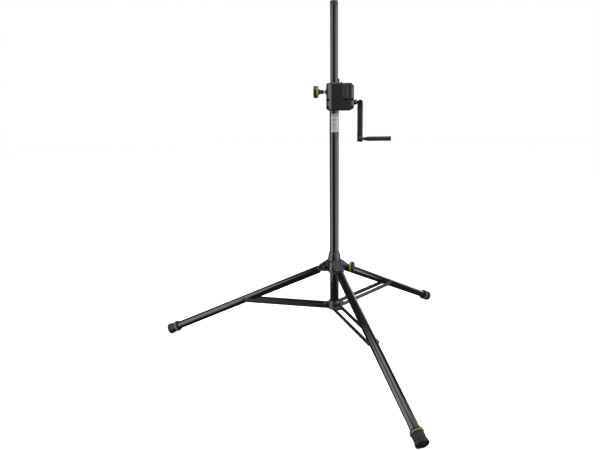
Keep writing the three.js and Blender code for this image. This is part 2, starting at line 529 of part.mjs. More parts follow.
function buildHousing(parent) {
  const inside = housingBlank(HOUSING_WALL);
  const collarRadius = SLIDE_BORE + COLLAR_WALL;
  const bushBore = PINION_SHAFT_RADIUS + GAP + BUSH_WALL + GAP;
  const bushSeat = HOUSING_HALF_DEPTH - HOUSING_WALL;
  const bosses = CASE_SCREWS.map(({ x, z }) =>
    solid(alongY(disc(CASE_BOSS_RADIUS, -HOUSING_HALF_DEPTH, HOUSING_HALF_DEPTH, SMALL_SIDES))
      .translate(x, 0, z)));
  const shaftBosses = [-1, 1].map((side) => {
    const near = side * (bushSeat - BUSH_LENGTH - GAP);
    const far = side * (bushSeat + OVERRUN);
    const [low, high] = [Math.min(near, far), Math.max(near, far)];
    return solid(alongY(disc(bushBore + SHAFT_BOSS_WALL, low, high, SMALL_SIDES))
      .translate(PINION_X, 0, SHAFT_Z));
  });
  const brakeBossEnd = -collarRadius + OVERRUN;
  const brakeBoss = solid(alongX(disc(BRAKE_BOSS_RADIUS, HOUSING_LEFT + OVERRUN, brakeBossEnd, SMALL_SIDES))
    .translate(0, 0, BRAKE_Z));
  const ribs = join(
    solid(disc(collarRadius, HOUSING_BOTTOM, HOUSING_BOTTOM + BOTTOM_COLLAR_HEIGHT)),
    solid(disc(collarRadius, HOUSING_TOP - TOP_COLLAR_HEIGHT, HOUSING_TOP)),
    brakeBoss, ...bosses, ...shaftBosses,
  ).intersect(housingBlank(0));
  const cone = [[0, -BRAKE_CONE_HEIGHT], [BRAKE_BOSS_RADIUS, -BRAKE_CONE_HEIGHT], [BRAKE_CONE_RADIUS, 0]];
  cone.push([BRAKE_CONE_RADIUS, HOUSING_WALL - OVERRUN], [0, HOUSING_WALL - OVERRUN]);
  const brakeCone = solid(alongX(turned(cone, SMALL_SIDES)).translate(HOUSING_LEFT, 0, BRAKE_Z));
  const crankBore = CRANK_SHAFT_RADIUS + GAP + CRANK_BUSH_WALL + GAP;
  const panelTop = PANEL_BOTTOM + PANEL_LENGTH;
  const panel = solid(plate(obround(PANEL_X, PANEL_BOTTOM, panelTop, PANEL_WIDTH), 2 * PANEL_HEIGHT)
    .translate(0, -HOUSING_HALF_DEPTH, 0));
  const slotWidth = PANEL_WIDTH - 2 * PANEL_RIM;
  const slotLow = PANEL_BOTTOM + PANEL_RIM + PANEL_SLOT_RAISE;
  const slotHigh = panelTop - PANEL_RIM - PANEL_SLOT_DROP;
  const slot = solid(plate(obround(PANEL_X, slotLow, slotHigh, slotWidth), 3)
    .translate(0, -HOUSING_HALF_DEPTH, 0));
  const holes = [
    solid(disc(SLIDE_BORE, HOUSING_BOTTOM - OVERRUN, HOUSING_TOP + OVERRUN)),
    solid(alongX(disc(crankBore, HOUSING_RIGHT - 3 * HOUSING_WALL, HOUSING_RIGHT + OVERRUN, SMALL_SIDES))
      .translate(0, 0, SHAFT_Z)),
    solid(alongX(disc(SCREW_RADIUS + GAP, HOUSING_LEFT - BRAKE_CONE_HEIGHT - OVERRUN, 0, SMALL_SIDES))
      .translate(0, 0, BRAKE_Z)),
    solid(alongY(disc(bushBore, -bushSeat, bushSeat, SMALL_SIDES)).translate(PINION_X, 0, SHAFT_Z)),
    solid(disc(POST_RADIUS + GAP, HOUSING_TOP - HOUSING_WALL - OVERRUN, HOUSING_TOP + OVERRUN, SMALL_SIDES)
      .translate(POST_X, POST_Y, 0)),
  ];
  for (const screw of CASE_SCREWS) {
    const front = -HOUSING_HALF_DEPTH - OVERRUN;
    const shank = disc(CASE_SCREW_RADIUS + GAP, front, CASE_SCREW_DEPTH + OVERRUN, SMALL_SIDES);
    const head = disc(CASE_SCREW_HEAD + GAP, front, screwSeat(screw), SMALL_SIDES);
    for (const hole of [shank, head]) {
      holes.push(solid(alongY(hole).translate(screw.x, 0, screw.z)));
    }
  }
  const walls = cut(join(cut(housingBlank(0), inside), ribs, brakeCone, panel), slot, ...holes);
  const wide = 2 * HOUSING_RIGHT;
  const frontHalf = solid(
    block(-wide, wide, -wide, -GAP / 2, HOUSING_BOTTOM - OVERRUN, HOUSING_TOP + OVERRUN));
  const rearHalf = solid(block(-wide, wide, GAP / 2, wide, HOUSING_BOTTOM - OVERRUN, HOUSING_TOP + OVERRUN));
  piece("housing_cover", walls.intersect(frontHalf), BLACK_PLASTIC, parent);
  piece("housing_back", walls.intersect(rearHalf), BLACK_PLASTIC, parent);
}

function buildHousingFittings(parent) {
  for (const screw of CASE_SCREWS) {
    const seat = screwSeat(screw) - GAP;
    const headTop = seat - CASE_SCREW_HEAD_HEIGHT;
    const outline = [[0, headTop], [CASE_SCREW_HEAD, headTop], [CASE_SCREW_HEAD, seat]];
    outline.push([CASE_SCREW_RADIUS, seat], [CASE_SCREW_RADIUS, CASE_SCREW_DEPTH], [0, CASE_SCREW_DEPTH]);
    const shape = alongY(turned(outline, SMALL_SIDES)).translate(screw.x, 0, screw.z);
    piece(screw.name, shape, BLACK_STEEL, parent);
  }
  const sleeve = OUTER_BORE - GAP;
  const bore = INNER_RADIUS + GAP;
  const bushLow = BRAKE_Z + PAD_RADIUS + PAD_CLEARANCE;
  const bushOutline = [[bore, bushLow], [sleeve, bushLow], [sleeve, OUTER_TOP + GAP]];
  const bushTop = OUTER_TOP + GAP + BUSH_FLANGE;
  bushOutline.push([OUTER_RADIUS, OUTER_TOP + GAP], [OUTER_RADIUS, bushTop], [bore, bushTop]);
  piece("guide_bush", turned(bushOutline), NYLON, parent);
  const postFoot = HOUSING_TOP - HOUSING_WALL;
  const postOutline = [[0, postFoot], [POST_RADIUS, postFoot], [POST_RADIUS, HOUSING_TOP + POST_HEIGHT]];
  postOutline.push([0, HOUSING_TOP + POST_HEIGHT]);
  piece("stop_post", turned(postOutline, SMALL_SIDES).translate(POST_X, POST_Y, 0), BLACK_STEEL, parent);
  const seat = HOUSING_HALF_DEPTH - HOUSING_WALL - GAP;
  const bushBore = PINION_SHAFT_RADIUS + GAP;
  const shaftBush = () => alongY(ring(bushBore, bushBore + BUSH_WALL, seat - BUSH_LENGTH, seat, SMALL_SIDES));
  piece("shaft_bush_back", shaftBush().translate(PINION_X, 0, SHAFT_Z), BRONZE, parent);
  piece("shaft_bush_front", shaftBush().rotateZ(Math.PI).translate(PINION_X, 0, SHAFT_Z), BRONZE, parent);
  const crankBore = CRANK_SHAFT_RADIUS + GAP;
  const barrel = crankBore + CRANK_BUSH_WALL;
  const flange = HOUSING_RIGHT + GAP;
  const flangeEnd = flange + CRANK_BUSH_FLANGE;
  const inside = flange - CRANK_BUSH_DEPTH;
  const crankBush = [[crankBore, inside], [barrel, inside], [barrel, flange], [barrel + BUSH_FLANGE, flange]];
  crankBush.push([barrel + BUSH_FLANGE, flangeEnd], [crankBore, flangeEnd]);
  piece("crank_bush", alongX(turned(crankBush, SMALL_SIDES)).translate(0, 0, SHAFT_Z), BRONZE, parent);
}

// ---- Rack drive ----

function buildDrive(parent) {
  const shaftReach = HOUSING_HALF_DEPTH - HOUSING_WALL - OVERRUN;
  const shaft = solid(alongY(disc(PINION_SHAFT_RADIUS, -shaftReach, shaftReach, SMALL_SIDES)));
  const pinion = solid(plate(gearShape(RACK_MODULE, PINION_TEETH, Math.PI), RACK_WIDTH));
  const driven = new THREE.Group();
  driven.position.set(PINION_X, 0, SHAFT_Z);
  parent.add(driven);
  piece("pinion_shaft", join(shaft, pinion), BRIGHT_STEEL, driven);

  // The face gear lies in front of the mast, and its teeth point back towards the crank pinion.
  const pitchPlane = -CRANK_PINION_PITCH;
  const rootPlane = pitchPlane + rootOf(FACE_MODULE);
  let gear = solid(
    alongY(ring(PINION_SHAFT_RADIUS + GAP, FACE_GEAR_RIM, rootPlane - DISC_THICKNESS, rootPlane)));
  const toothFoot = rootOf(FACE_MODULE) - TOOTH_ROOTED;
  const toothTip = tipOf(FACE_MODULE);
  const toothShape = new THREE.Shape([[toothFoot, -1], [toothTip, -1], [toothTip, 1], [toothFoot, 1]]
    .map(([above, side]) => new THREE.Vector2(side * toothHalfWidth(FACE_MODULE, above), above)));
  const toothBar = solid(new THREE.ExtrudeGeometry(toothShape, { depth: FACE_WIDTH, bevelEnabled: false })
    .rotateY(Math.PI / 2).translate(FACE_GEAR_RIM - FACE_WIDTH, pitchPlane, 0));
  for (let tooth = 0; tooth < FACE_GEAR_TEETH; tooth += 1) {
    gear = gear.add(toothBar.rotate([0, (360 * (tooth + 0.5)) / FACE_GEAR_TEETH, 0]));
  }
  piece("face_gear", gear, BRIGHT_STEEL, driven);
}

function buildCrankShaft(parent) {
  const width = FACE_WIDTH + CRANK_PINION_EXTRA;
  const start = PINION_X + FACE_GEAR_PITCH - width / 2;
  const shaft = solid(
    alongX(disc(CRANK_SHAFT_RADIUS, start - OVERRUN, CRANK_X - CRANK_SHAFT_END, SMALL_SIDES)));
  const wheel = new THREE.ExtrudeGeometry(gearShape(FACE_MODULE, CRANK_PINION_TEETH, -Math.PI / 2),
    { depth: width, bevelEnabled: false });
  // The outline's X and Y become Z and Y, so the marked tooth stays on the -Y side.
  wheel.rotateY(Math.PI / 2).translate(start, 0, 0);
  const crank = new THREE.Group();
  crank.position.z = SHAFT_Z;
  parent.add(crank);
  piece("crank_shaft", join(shaft, solid(wheel)), BRIGHT_STEEL, crank);
  return crank;
}

// ---- Crank ----

function buildCrankHead(crank) {
  const outline = [[0, CRANK_HUB_START], [HUB_RADIUS - HUB_CHAMFER, CRANK_HUB_START]];
  outline.push([HUB_RADIUS, CRANK_HUB_START + HUB_CHAMFER], [HUB_RADIUS, CRANK_HUB_END], [0, CRANK_HUB_END]);
  const barrel = solid(alongX(turned(outline, SMALL_SIDES)));
  const tongueShape = new THREE.Shape();
  const tongueHalf = HUB_RADIUS - TONGUE_INSET;
  tongueShape.moveTo(CRANK_HUB_END - OVERRUN, -tongueHalf);
  tongueShape.lineTo(CRANK_X, -tongueHalf);
  tongueShape.absarc(CRANK_X, 0, tongueHalf, -Math.PI / 2, Math.PI / 2, false);
  tongueShape.lineTo(CRANK_HUB_END - OVERRUN, tongueHalf);
  const tongue = solid(plate(tongueShape, TONGUE_THICKNESS));
  const boreEnd = CRANK_X - CRANK_SHAFT_END + GAP;
  const bore = solid(alongX(disc(CRANK_SHAFT_RADIUS + GAP, CRANK_HUB_START - OVERRUN, boreEnd, SMALL_SIDES)));
  const pinHole = solid(alongY(disc(FOLD_PIN_RADIUS + GAP, -TONGUE_THICKNESS, TONGUE_THICKNESS, SMALL_SIDES))
    .translate(CRANK_X, 0, 0));
  const grubX = (CRANK_HUB_START + CRANK_HUB_END) / 2;
  const grubHole = solid(disc(GRUB_RADIUS + GAP, CRANK_SHAFT_RADIUS, HUB_RADIUS + OVERRUN, SMALL_SIDES)
    .translate(grubX, 0, 0));
  piece("crank_hub", cut(join(barrel, tongue), bore, pinHole, grubHole), BLACK_CASTING, crank);
  const grubFoot = CRANK_SHAFT_RADIUS + GAP;
  const grubSeat = HUB_RADIUS + GAP;
  const grub = [[0, grubFoot], [GRUB_RADIUS, grubFoot], [GRUB_RADIUS, grubSeat], [GRUB_HEAD, grubSeat]];
  grub.push([GRUB_HEAD, HUB_RADIUS + GRUB_PROUD], [0, HUB_RADIUS + GRUB_PROUD]);
  piece("grub_screw", turned(grub, SMALL_SIDES).translate(grubX, 0, 0), BLACK_STEEL, crank);
  const seat = ARM_DEPTH / 2 + GAP;
  const headTop = -seat - FOLD_PIN_HEAD_HEIGHT;
  const pin = [[0, headTop], [FOLD_PIN_HEAD, headTop], [FOLD_PIN_HEAD, -seat], [FOLD_PIN_RADIUS, -seat]];
  pin.push([FOLD_PIN_RADIUS, seat + OVERRUN], [0, seat + OVERRUN]);
  piece("fold_pin", alongY(turned(pin, SMALL_SIDES)).translate(CRANK_X, 0, 0), BLACK_STEEL, crank);
}

// An upright bar with a rounded rectangular section.
function armBar(low, high, proud) {
  const half = { x: ARM_WIDTH / 2 + proud, y: ARM_DEPTH / 2 + proud };
  const round = ARM_EDGE_ROUND;
  const section = new THREE.Shape();
  section.absarc(half.x - round, half.y - round, round, 0, Math.PI / 2, false);
  section.absarc(-half.x + round, half.y - round, round, Math.PI / 2, Math.PI, false);
  section.absarc(-half.x + round, -half.y + round, round, Math.PI, 1.5 * Math.PI, false);
  section.absarc(half.x - round, -half.y + round, round, 1.5 * Math.PI, 2 * Math.PI, false);
  return new THREE.ExtrudeGeometry(section, { depth: high - low, bevelEnabled: false, curveSegments: 3 })
    .translate(CRANK_X, 0, low);
}

function buildCrankArm(parent) {
  const headShape = new THREE.Shape();
  const headFoot = SHAFT_Z - FORK_DEPTH - ARM_EDGE_ROUND - OVERRUN;
  headShape.moveTo(CRANK_X - HEAD_RADIUS, headFoot);
  headShape.lineTo(CRANK_X + HEAD_RADIUS, headFoot);
  headShape.absarc(CRANK_X, SHAFT_Z, HEAD_RADIUS, 0, Math.PI, false);
  const head = solid(plate(headShape, ARM_DEPTH));
  const bar = solid(armBar(BAND_TOP + GAP, SHAFT_Z - FORK_DEPTH, 0));
  const slotHalf = TONGUE_THICKNESS / 2 + SIDE_PLAY;
  const slot = solid(block(CRANK_X - ARM_WIDTH, CRANK_X + ARM_WIDTH, -slotHalf, slotHalf,
    SHAFT_Z - FORK_DEPTH, SHAFT_Z + ARM_WIDTH));
  const pinHole = solid(alongY(disc(FOLD_PIN_RADIUS + GAP, -ARM_DEPTH, ARM_DEPTH, SMALL_SIDES))
    .translate(CRANK_X, 0, SHAFT_Z));
  piece("crank_arm", cut(join(head, bar), slot, pinHole), BLACK_CASTING, parent);
  piece("arm_band", armBar(BAND_TOP - BAND_HEIGHT, BAND_TOP, BAND_PROUD), BLACK_PLASTIC, parent);
  const spindleHole = solid(alongX(disc(SPINDLE_RADIUS + GAP, CRANK_X - SPINDLE_DEPTH - OVERRUN,
    CRANK_X + ARM_WIDTH, SMALL_SIDES)).translate(0, 0, HANDLE_Z));
  const elbowTop = BAND_TOP - BAND_HEIGHT - GAP;
  const elbow = join(
    solid(armBar(HANDLE_Z - ELBOW_BELOW, elbowTop, 0)),
    solid(alongX(disc(GRIP_CAP_RADIUS, CRANK_X, GRIP_START - OVERRUN - GAP, SMALL_SIDES))
      .translate(0, 0, HANDLE_Z)),
  );
  piece("handle_elbow", cut(elbow, spindleHole), BLACK_CASTING, parent);
  piece("handle_spindle", alongX(disc(SPINDLE_RADIUS, CRANK_X - SPINDLE_DEPTH, GRIP_END - GAP, SMALL_SIDES))
    .translate(0, 0, HANDLE_Z), BRIGHT_STEEL, parent);
}

function buildGrip(parent) {
  const bore = SPINDLE_RADIUS + GAP;
  const shoulder = GRIP_START + GRIP_SHOULDER;
  const grip = [[bore, GRIP_START], [GRIP_NECK_RADIUS, GRIP_START]];
  grip.push([GRIP_NECK_RADIUS + GRIP_NECK_FLARE, GRIP_START + GRIP_NECK_LENGTH]);
  grip.push([GRIP_RADIUS - 0.5, shoulder - 3], [GRIP_RADIUS, shoulder], [GRIP_RADIUS, GRIP_END]);
  grip.push([bore, GRIP_END]);
  piece("handle_grip", alongX(turned(grip)).translate(0, 0, HANDLE_Z), BLACK_PLASTIC, parent);
  const start = GRIP_END + GAP;
  const end = start + GRIP_CAP_LENGTH;
  const cap = [[0, start], [GRIP_CAP_RADIUS, start], [GRIP_CAP_RADIUS, end - GRIP_CAP_CHAMFER]];
  cap.push([GRIP_CAP_RADIUS - GRIP_CAP_CHAMFER, end], [0, end]);
  piece("grip_end_cap", alongX(turned(cap)).translate(0, 0, HANDLE_Z), BLACK_PLASTIC, parent);
}

// ---- Inner tube ----

function buildInnerMast(parent) {
  const slotHalf = RACK_WIDTH / 2 + SIDE_PLAY;
  const tube = solid(ring(INNER_BORE, INNER_RADIUS, INNER_BOTTOM, INNER_TOP));
  const slot = solid(block(0, INNER_RADIUS + OVERRUN, -slotHalf, slotHalf,
    RACK_BOTTOM - RACK_SLOT_SPARE, RACK_TOP + RACK_SLOT_SPARE));
  piece("inner_tube", cut(tube, slot), BLACK_TUBE, parent);
  piece("rack", plate(rackShape(), RACK_WIDTH), BRIGHT_STEEL, parent);
  const capFoot = INNER_TOP + GAP;
  const spigot = INNER_BORE - GAP;
  const cap = [
    [0, capFoot - PLUG_DEPTH],
    [spigot, capFoot - PLUG_DEPTH],
    [spigot, capFoot],
    [INNER_RADIUS, capFoot],
    [INNER_RADIUS, MAST_TOP - TOP_CAP_CHAMFER],
    [INNER_RADIUS - TOP_CAP_CHAMFER, MAST_TOP],
    [0, MAST_TOP],
  ];
  piece("top_cap", turned(cap), BLACK_PLASTIC, parent);
  const shoe = OUTER_BORE - GAP;
  const shoeTop = INNER_BOTTOM - GAP;
  const shoeFoot = shoeTop - SHOE_LENGTH;
  const foot = [[0, shoeFoot], [shoe, shoeFoot], [shoe, shoeTop], [spigot, shoeTop]];
  foot.push([spigot, shoeTop + PLUG_DEPTH], [0, shoeTop + PLUG_DEPTH]);
  piece("inner_guide", turned(foot), NYLON, parent);
}

// ---- Clamp knobs ----

// A knob on its screw, lying along -X with its outer face at X = -face and its pad's tip at X = -padTip.
function buildKnob(prefix, parent, face, padTip) {
  const ringStart = KNOB_CAP_LENGTH + GAP;
  const ringEnd = ringStart + KNOB_RING_LENGTH;
  const neckEnd = KNOB_CAP_LENGTH + KNOB_RING_LENGTH + KNOB_NECK_LENGTH + 2 * GAP;
  const core = KNOB_RING_BORE;
  const body = [[0, 0], [KNOB_RADIUS - KNOB_CHAMFER, 0]];
  body.push([KNOB_RADIUS, KNOB_CHAMFER], [KNOB_RADIUS, KNOB_CAP_LENGTH]);
  body.push([core, KNOB_CAP_LENGTH], [core, ringEnd + GAP], [KNOB_NECK_RADIUS, ringEnd + KNOB_TAPER]);
  body.push([KNOB_NECK_RADIUS, neckEnd - KNOB_FOOT_LENGTH - 1]);
  body.push([KNOB_FOOT_RADIUS, neckEnd - KNOB_FOOT_LENGTH]);
  body.push([KNOB_FOOT_RADIUS, neckEnd], [0, neckEnd]);
  const screwStart = ringEnd;
  const knobBore = solid(alongX(disc(SCREW_RADIUS + GAP, screwStart - GAP, neckEnd + OVERRUN, SMALL_SIDES)));
  const knob = cut(solid(alongX(turned(body))), knobBore);
  piece(`${prefix}_knob`, geometryOf(knob).translate(-face, 0, 0), BLACK_PLASTIC, parent);
  const grip = alongX(ring(core + GAP, KNOB_RADIUS, ringStart, ringEnd)).translate(-face, 0, 0);
  piece(`${prefix}_knob_ring`, grip, GREEN_PLASTIC, parent);
  const screwEnd = -padTip - PAD_LENGTH - GAP;
  const screw = alongX(disc(SCREW_RADIUS, screwStart - face, screwEnd, SMALL_SIDES));
  piece(`${prefix}_screw`, screw, BLACK_STEEL, parent);
  piece(`${prefix}_pad`, alongX(disc(PAD_RADIUS, -padTip - PAD_LENGTH, -padTip, SMALL_SIDES)), NYLON, parent);
}

// ---- Tripod hub ----

function buildHub(parent) {
  const bandBottom = BELL_WIDEST_Z - BELL_BAND;
  const bell = [[0, HUB_BOTTOM], [SLEEVE_RADIUS - HUB_EDGE, HUB_BOTTOM]];
  bell.push([SLEEVE_RADIUS, HUB_BOTTOM + HUB_EDGE]);
  bell.push([SLEEVE_RADIUS, bandBottom - BELL_FLARE]);
  bell.push([BELL_RADIUS, bandBottom], [BELL_RADIUS, BELL_WIDEST_Z]);
  bell.push([BELL_RADIUS - HUB_EDGE, BELL_WIDEST_Z + BELL_CROWN]);
  bell.push([BELL_RADIUS - BELL_NECK_STEP, HUB_TOP - BELL_NECK_STEP]);
  bell.push([SLIDE_BORE + BELL_LIP, HUB_TOP], [0, HUB_TOP]);

  const startAngle = -Math.asin(HOOD_BELOW_PIVOT / HOOD_RADIUS);
  const hoodShape = new THREE.Shape();
  hoodShape.absarc(PIVOT_R, PIVOT_Z, HOOD_RADIUS, startAngle, Math.PI - startAngle, false);
  const slotReach = PIVOT_R + 2 * HOOD_RADIUS;
  const aboveRoof = (drop) => {
    const roofStart = PIVOT_Z + HOOD_ROOF_RISE + BELL_RADIUS * Math.tan(HOOD_ROOF_SLOPE) - drop;
    const shape = new THREE.Shape();
    shape.moveTo(0, roofStart);
    shape.lineTo(slotReach, roofStart - slotReach * Math.tan(HOOD_ROOF_SLOPE));
    shape.lineTo(slotReach, roofStart);
    return solid(plate(shape, 2 * HOOD_WIDTH));
  };
  const hood = cut(solid(plate(hoodShape, HOOD_WIDTH, 18)), aboveRoof(0));

  const slotHalf = HOOD_WIDTH / 2 - CHEEK;
  const slotArch = solid(
    alongY(disc(HOOD_RADIUS - HOOD_WALL, -slotHalf, slotHalf)).translate(PIVOT_R, 0, PIVOT_Z));
  const slotRoof = cut(slotArch, aboveRoof(HOOD_WALL / Math.cos(HOOD_ROOF_SLOPE)));
  // The mouth is open as far up as the top edge of a leg's tongue where it passes under the hood's rim.
  const rimAlongLeg = Math.sqrt((HOOD_RADIUS - HOOD_WALL) ** 2 - TONGUE_RADIUS ** 2);
  const tongueTop = TONGUE_RADIUS * Math.cos(LEG_SLOPE) - rimAlongLeg * Math.sin(LEG_SLOPE);
  const mouthTop = PIVOT_Z + Math.max(0, tongueTop + GAP);
  const slotMouth = solid(block(0, slotReach, -slotHalf, slotHalf, HUB_BOTTOM - OVERRUN, mouthTop));
  const keep = solid(
    block(SLEEVE_RADIUS - HUB_EDGE, slotReach, -HOOD_WIDTH, HOOD_WIDTH, HUB_BOTTOM - OVERRUN, HUB_TOP));
  const slot = join(slotRoof, slotMouth).intersect(keep);
  const boltHole = solid(alongY(disc(BOLT_RADIUS + GAP, -HOOD_WIDTH, HOOD_WIDTH, SMALL_SIDES))
    .translate(PIVOT_R, 0, PIVOT_Z));

  const clampZ = HUB_BOTTOM + CLAMP_ABOVE_HUB;
  const clampTurn = [0, 0, CLAMP_AZIMUTH - 180];
  const bossOutline = [[0, -CLAMP_BOSS_REACH], [CLAMP_BOSS_RADIUS - HUB_EDGE, -CLAMP_BOSS_REACH]];
  bossOutline.push([CLAMP_BOSS_RADIUS, -CLAMP_BOSS_REACH + HUB_EDGE]);
  bossOutline.push([CLAMP_BOSS_RADIUS, -CLAMP_BOSS_ROOT], [0, -CLAMP_BOSS_ROOT]);
  const boss = solid(alongX(turned(bossOutline, SMALL_SIDES)));
  const padEnd = SLIDE_BORE + PAD_LENGTH + PAD_TRAVEL + 3 * GAP;
  const padSeat = solid(alongX(disc(PAD_RADIUS + GAP, -padEnd, -OVERRUN, SMALL_SIDES)));
  const screwHole = solid(
    alongX(disc(SCREW_RADIUS + GAP, -CLAMP_BOSS_REACH - OVERRUN, -OVERRUN, SMALL_SIDES)));
  const placed = (shape) => shape.rotate(clampTurn).translate([0, 0, clampZ]);

  const azimuths = Object.values(LEG_AZIMUTHS);
  const around = (shape) => azimuths.map((azimuth) => shape.rotate([0, 0, azimuth]));
  const bore = solid(disc(SLIDE_BORE, HUB_BOTTOM - OVERRUN, HUB_TOP + OVERRUN));
  const casting = join(solid(turned(bell)), ...around(hood), placed(boss));
  const hub = cut(casting, ...around(slot), ...around(boltHole), placed(padSeat), placed(screwHole), bore);
  piece("tripod_hub", hub, BLACK_CASTING, parent);

  const clamp = turnedGroup(parent, CLAMP_AZIMUTH - 180);
  const clampHeight = new THREE.Group();
  clampHeight.position.z = clampZ;
  clamp.add(clampHeight);
  buildKnob("clamp", clampHeight, CLAMP_FACE, SLIDE_BORE);
}

function buildPivotBolt(side, frame) {
  const head = HOOD_WIDTH / 2 + GAP;
  const headTop = -head - BOLT_HEAD_HEIGHT;
  const bolt = [[0, headTop], [BOLT_HEAD_RADIUS, headTop], [BOLT_HEAD_RADIUS, -head]];
  bolt.push([BOLT_RADIUS, -head], [BOLT_RADIUS, head + BOLT_END], [0, head + BOLT_END]);
  const shape = alongY(turned(bolt, SMALL_SIDES)).translate(PIVOT_R, 0, PIVOT_Z);
  piece(`${side}_pivot_bolt`, shape, BLACK_STEEL, frame);
}

// ---- Legs ----

// One leg along its own X axis, which starts at the pivot bolt and runs down to the foot.
function buildLeg(side, frame) {
  const leg = new THREE.Group();
  leg.position.set(PIVOT_R, 0, PIVOT_Z);
  leg.rotation.y = LEG_SLOPE;
  frame.add(leg);

  const ringAt = (RING_R - PIVOT_R) / Math.cos(LEG_SLOPE);
  const footEnd = ringAt + FOOT_BEYOND_RING;
  const tubeEnd = footEnd - FOOT_END_WALL - GAP;
  const bore = LEG_RADIUS - LEG_WALL;
  piece(`${side}_leg_tube`, alongX(ring(bore, LEG_RADIUS, LEG_TUBE_START, tubeEnd)), BLACK_TUBE, leg);

  const flangeEnd = LEG_TUBE_START - GAP;
  const tongueShape = new THREE.Shape();
  tongueShape.absarc(0, 0, TONGUE_RADIUS, Math.PI / 2, 1.5 * Math.PI, false);
  tongueShape.lineTo(flangeEnd - OVERRUN, -TONGUE_RADIUS);
  tongueShape.lineTo(flangeEnd - OVERRUN, TONGUE_RADIUS);
  const tongue = solid(plate(tongueShape, HOOD_WIDTH - 2 * CHEEK - 2 * SIDE_PLAY));
  const flangeStart = flangeEnd - LEG_FLANGE;
  const plugEnd = flangeEnd + LEG_PLUG_LENGTH;
  const plug = solid(alongX(turned([[0, flangeStart], [LEG_RADIUS, flangeStart], [LEG_RADIUS, flangeEnd],
    [bore - GAP, flangeEnd], [bore - GAP, plugEnd], [0, plugEnd]])));
  const hole = solid(alongY(disc(BOLT_RADIUS + GAP, -HOOD_WIDTH, HOOD_WIDTH, SMALL_SIDES)));
  piece(`${side}_leg_fitting`, cut(join(tongue, plug), hole), BLACK_CASTING, leg);

  const start = ringAt - FOOT_BEFORE_RING;
  const bowl = LEG_RADIUS + GAP;
  const grooveHalf = FOOT_RING_WIDTH / 2 + GAP;
  const floor = footEnd - FOOT_END_WALL;
  const groove = FOOT_RING_RADIUS - FOOT_RING_DEPTH - GAP;
  const bandStart = footEnd - FOOT_END_BAND;
  const foot = [[bowl, start], [FOOT_RADIUS - FOOT_MOUTH_ROUND, start]];
  foot.push([FOOT_RADIUS, start + FOOT_MOUTH_ROUND]);
  foot.push([FOOT_RADIUS, ringAt - grooveHalf], [groove, ringAt - grooveHalf], [groove, ringAt + grooveHalf]);
  foot.push([FOOT_RADIUS, ringAt + grooveHalf], [FOOT_RADIUS, bandStart - FOOT_END_FLARE]);
  foot.push([FOOT_END_RADIUS, bandStart], [FOOT_END_RADIUS, footEnd - FOOT_EDGE_ROUND]);
  foot.push([FOOT_END_RADIUS - FOOT_EDGE_ROUND, footEnd], [0, footEnd], [0, floor], [bowl, floor]);
  // The sole is where the floor would cut the foot's lowest edge.
  const toFloor = new THREE.Matrix4().makeRotationY(LEG_SLOPE).setPosition(PIVOT_R, 0, PIVOT_Z);
  const wide = 2 * FOOT_END_RADIUS;
  const underFloor = block(0, 2 * RING_R, -wide, wide, -wide, 0).applyMatrix4(toFloor.clone().invert());
  piece(`${side}_foot`, cut(solid(alongX(turned(foot))), solid(underFloor)), BLACK_RUBBER, leg);
  const halfWidth = FOOT_RING_WIDTH / 2;
  const band = ring(groove + GAP, FOOT_RING_RADIUS, ringAt - halfWidth, ringAt + halfWidth);
  piece(`${side}_foot_ring`, alongX(band), GREEN_PLASTIC, leg);
}

// ---- Braces ----

function buildBraces(side, frame) {
  const brace = new THREE.Group();
  brace.position.set(SPIDER_R, 0, SPIDER_Z);
  brace.rotation.y = Math.atan2(SPIDER_Z - BRACE_Z, BRACE_R - SPIDER_R);
  frame.add(brace);
  const end = BAR_HEIGHT / 2;
  const shape = new THREE.Shape();
  shape.absarc(0, 0, end, Math.PI / 2, 1.5 * Math.PI, false);
  shape.absarc(BRACE_LENGTH, 0, end, -Math.PI / 2, Math.PI / 2, false);
  const hole = solid(alongY(disc(TRUNNION_RADIUS + GAP, -BAR_THICKNESS, BAR_THICKNESS, SMALL_SIDES)));
  const bar = cut(solid(plate(shape, BAR_THICKNESS)), hole);
  const nearSide = piece(`${side}_brace_bar_a`, bar, BLACK_STEEL, brace);
  nearSide.position.y = -BAR_OFFSET;
  const farSide = piece(`${side}_brace_bar_b`, bar, BLACK_STEEL, brace);
  farSide.position.y = BAR_OFFSET;
}

// ---- The stand ----

const mast = new THREE.Group();
buildOuterTube(mast);
buildEndPlug(mast);
buildSpider(mast);
buildHousing(mast);
buildHousingFittings(mast);
buildInnerMast(mast);
buildDrive(mast);
buildCrankHead(buildCrankShaft(mast));
buildCrankArm(mast);
buildGrip(mast);
const brake = new THREE.Group();
brake.position.z = BRAKE_Z;
mast.add(brake);
buildKnob("brake", brake, BRAKE_FACE, INNER_RADIUS + GAP);
buildHub(mast);
for (const [side, azimuth] of Object.entries(LEG_AZIMUTHS)) {
  const frame = turnedGroup(mast, azimuth);
  buildPivotBolt(side, frame);
  buildLeg(side, frame);
  buildBraces(side, frame);
}

const stand = new THREE.Group();
stand.add(mast);
stand.updateMatrixWorld(true);
const bounds = new THREE.Box3().setFromObject(stand, true);
mast.position.set(-(bounds.min.x + bounds.max.x) / 2, -(bounds.min.y + bounds.max.y) / 2, -bounds.min.z);

export default stand;
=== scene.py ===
import math

import bmesh
import bpy
from mathutils import Matrix, Vector


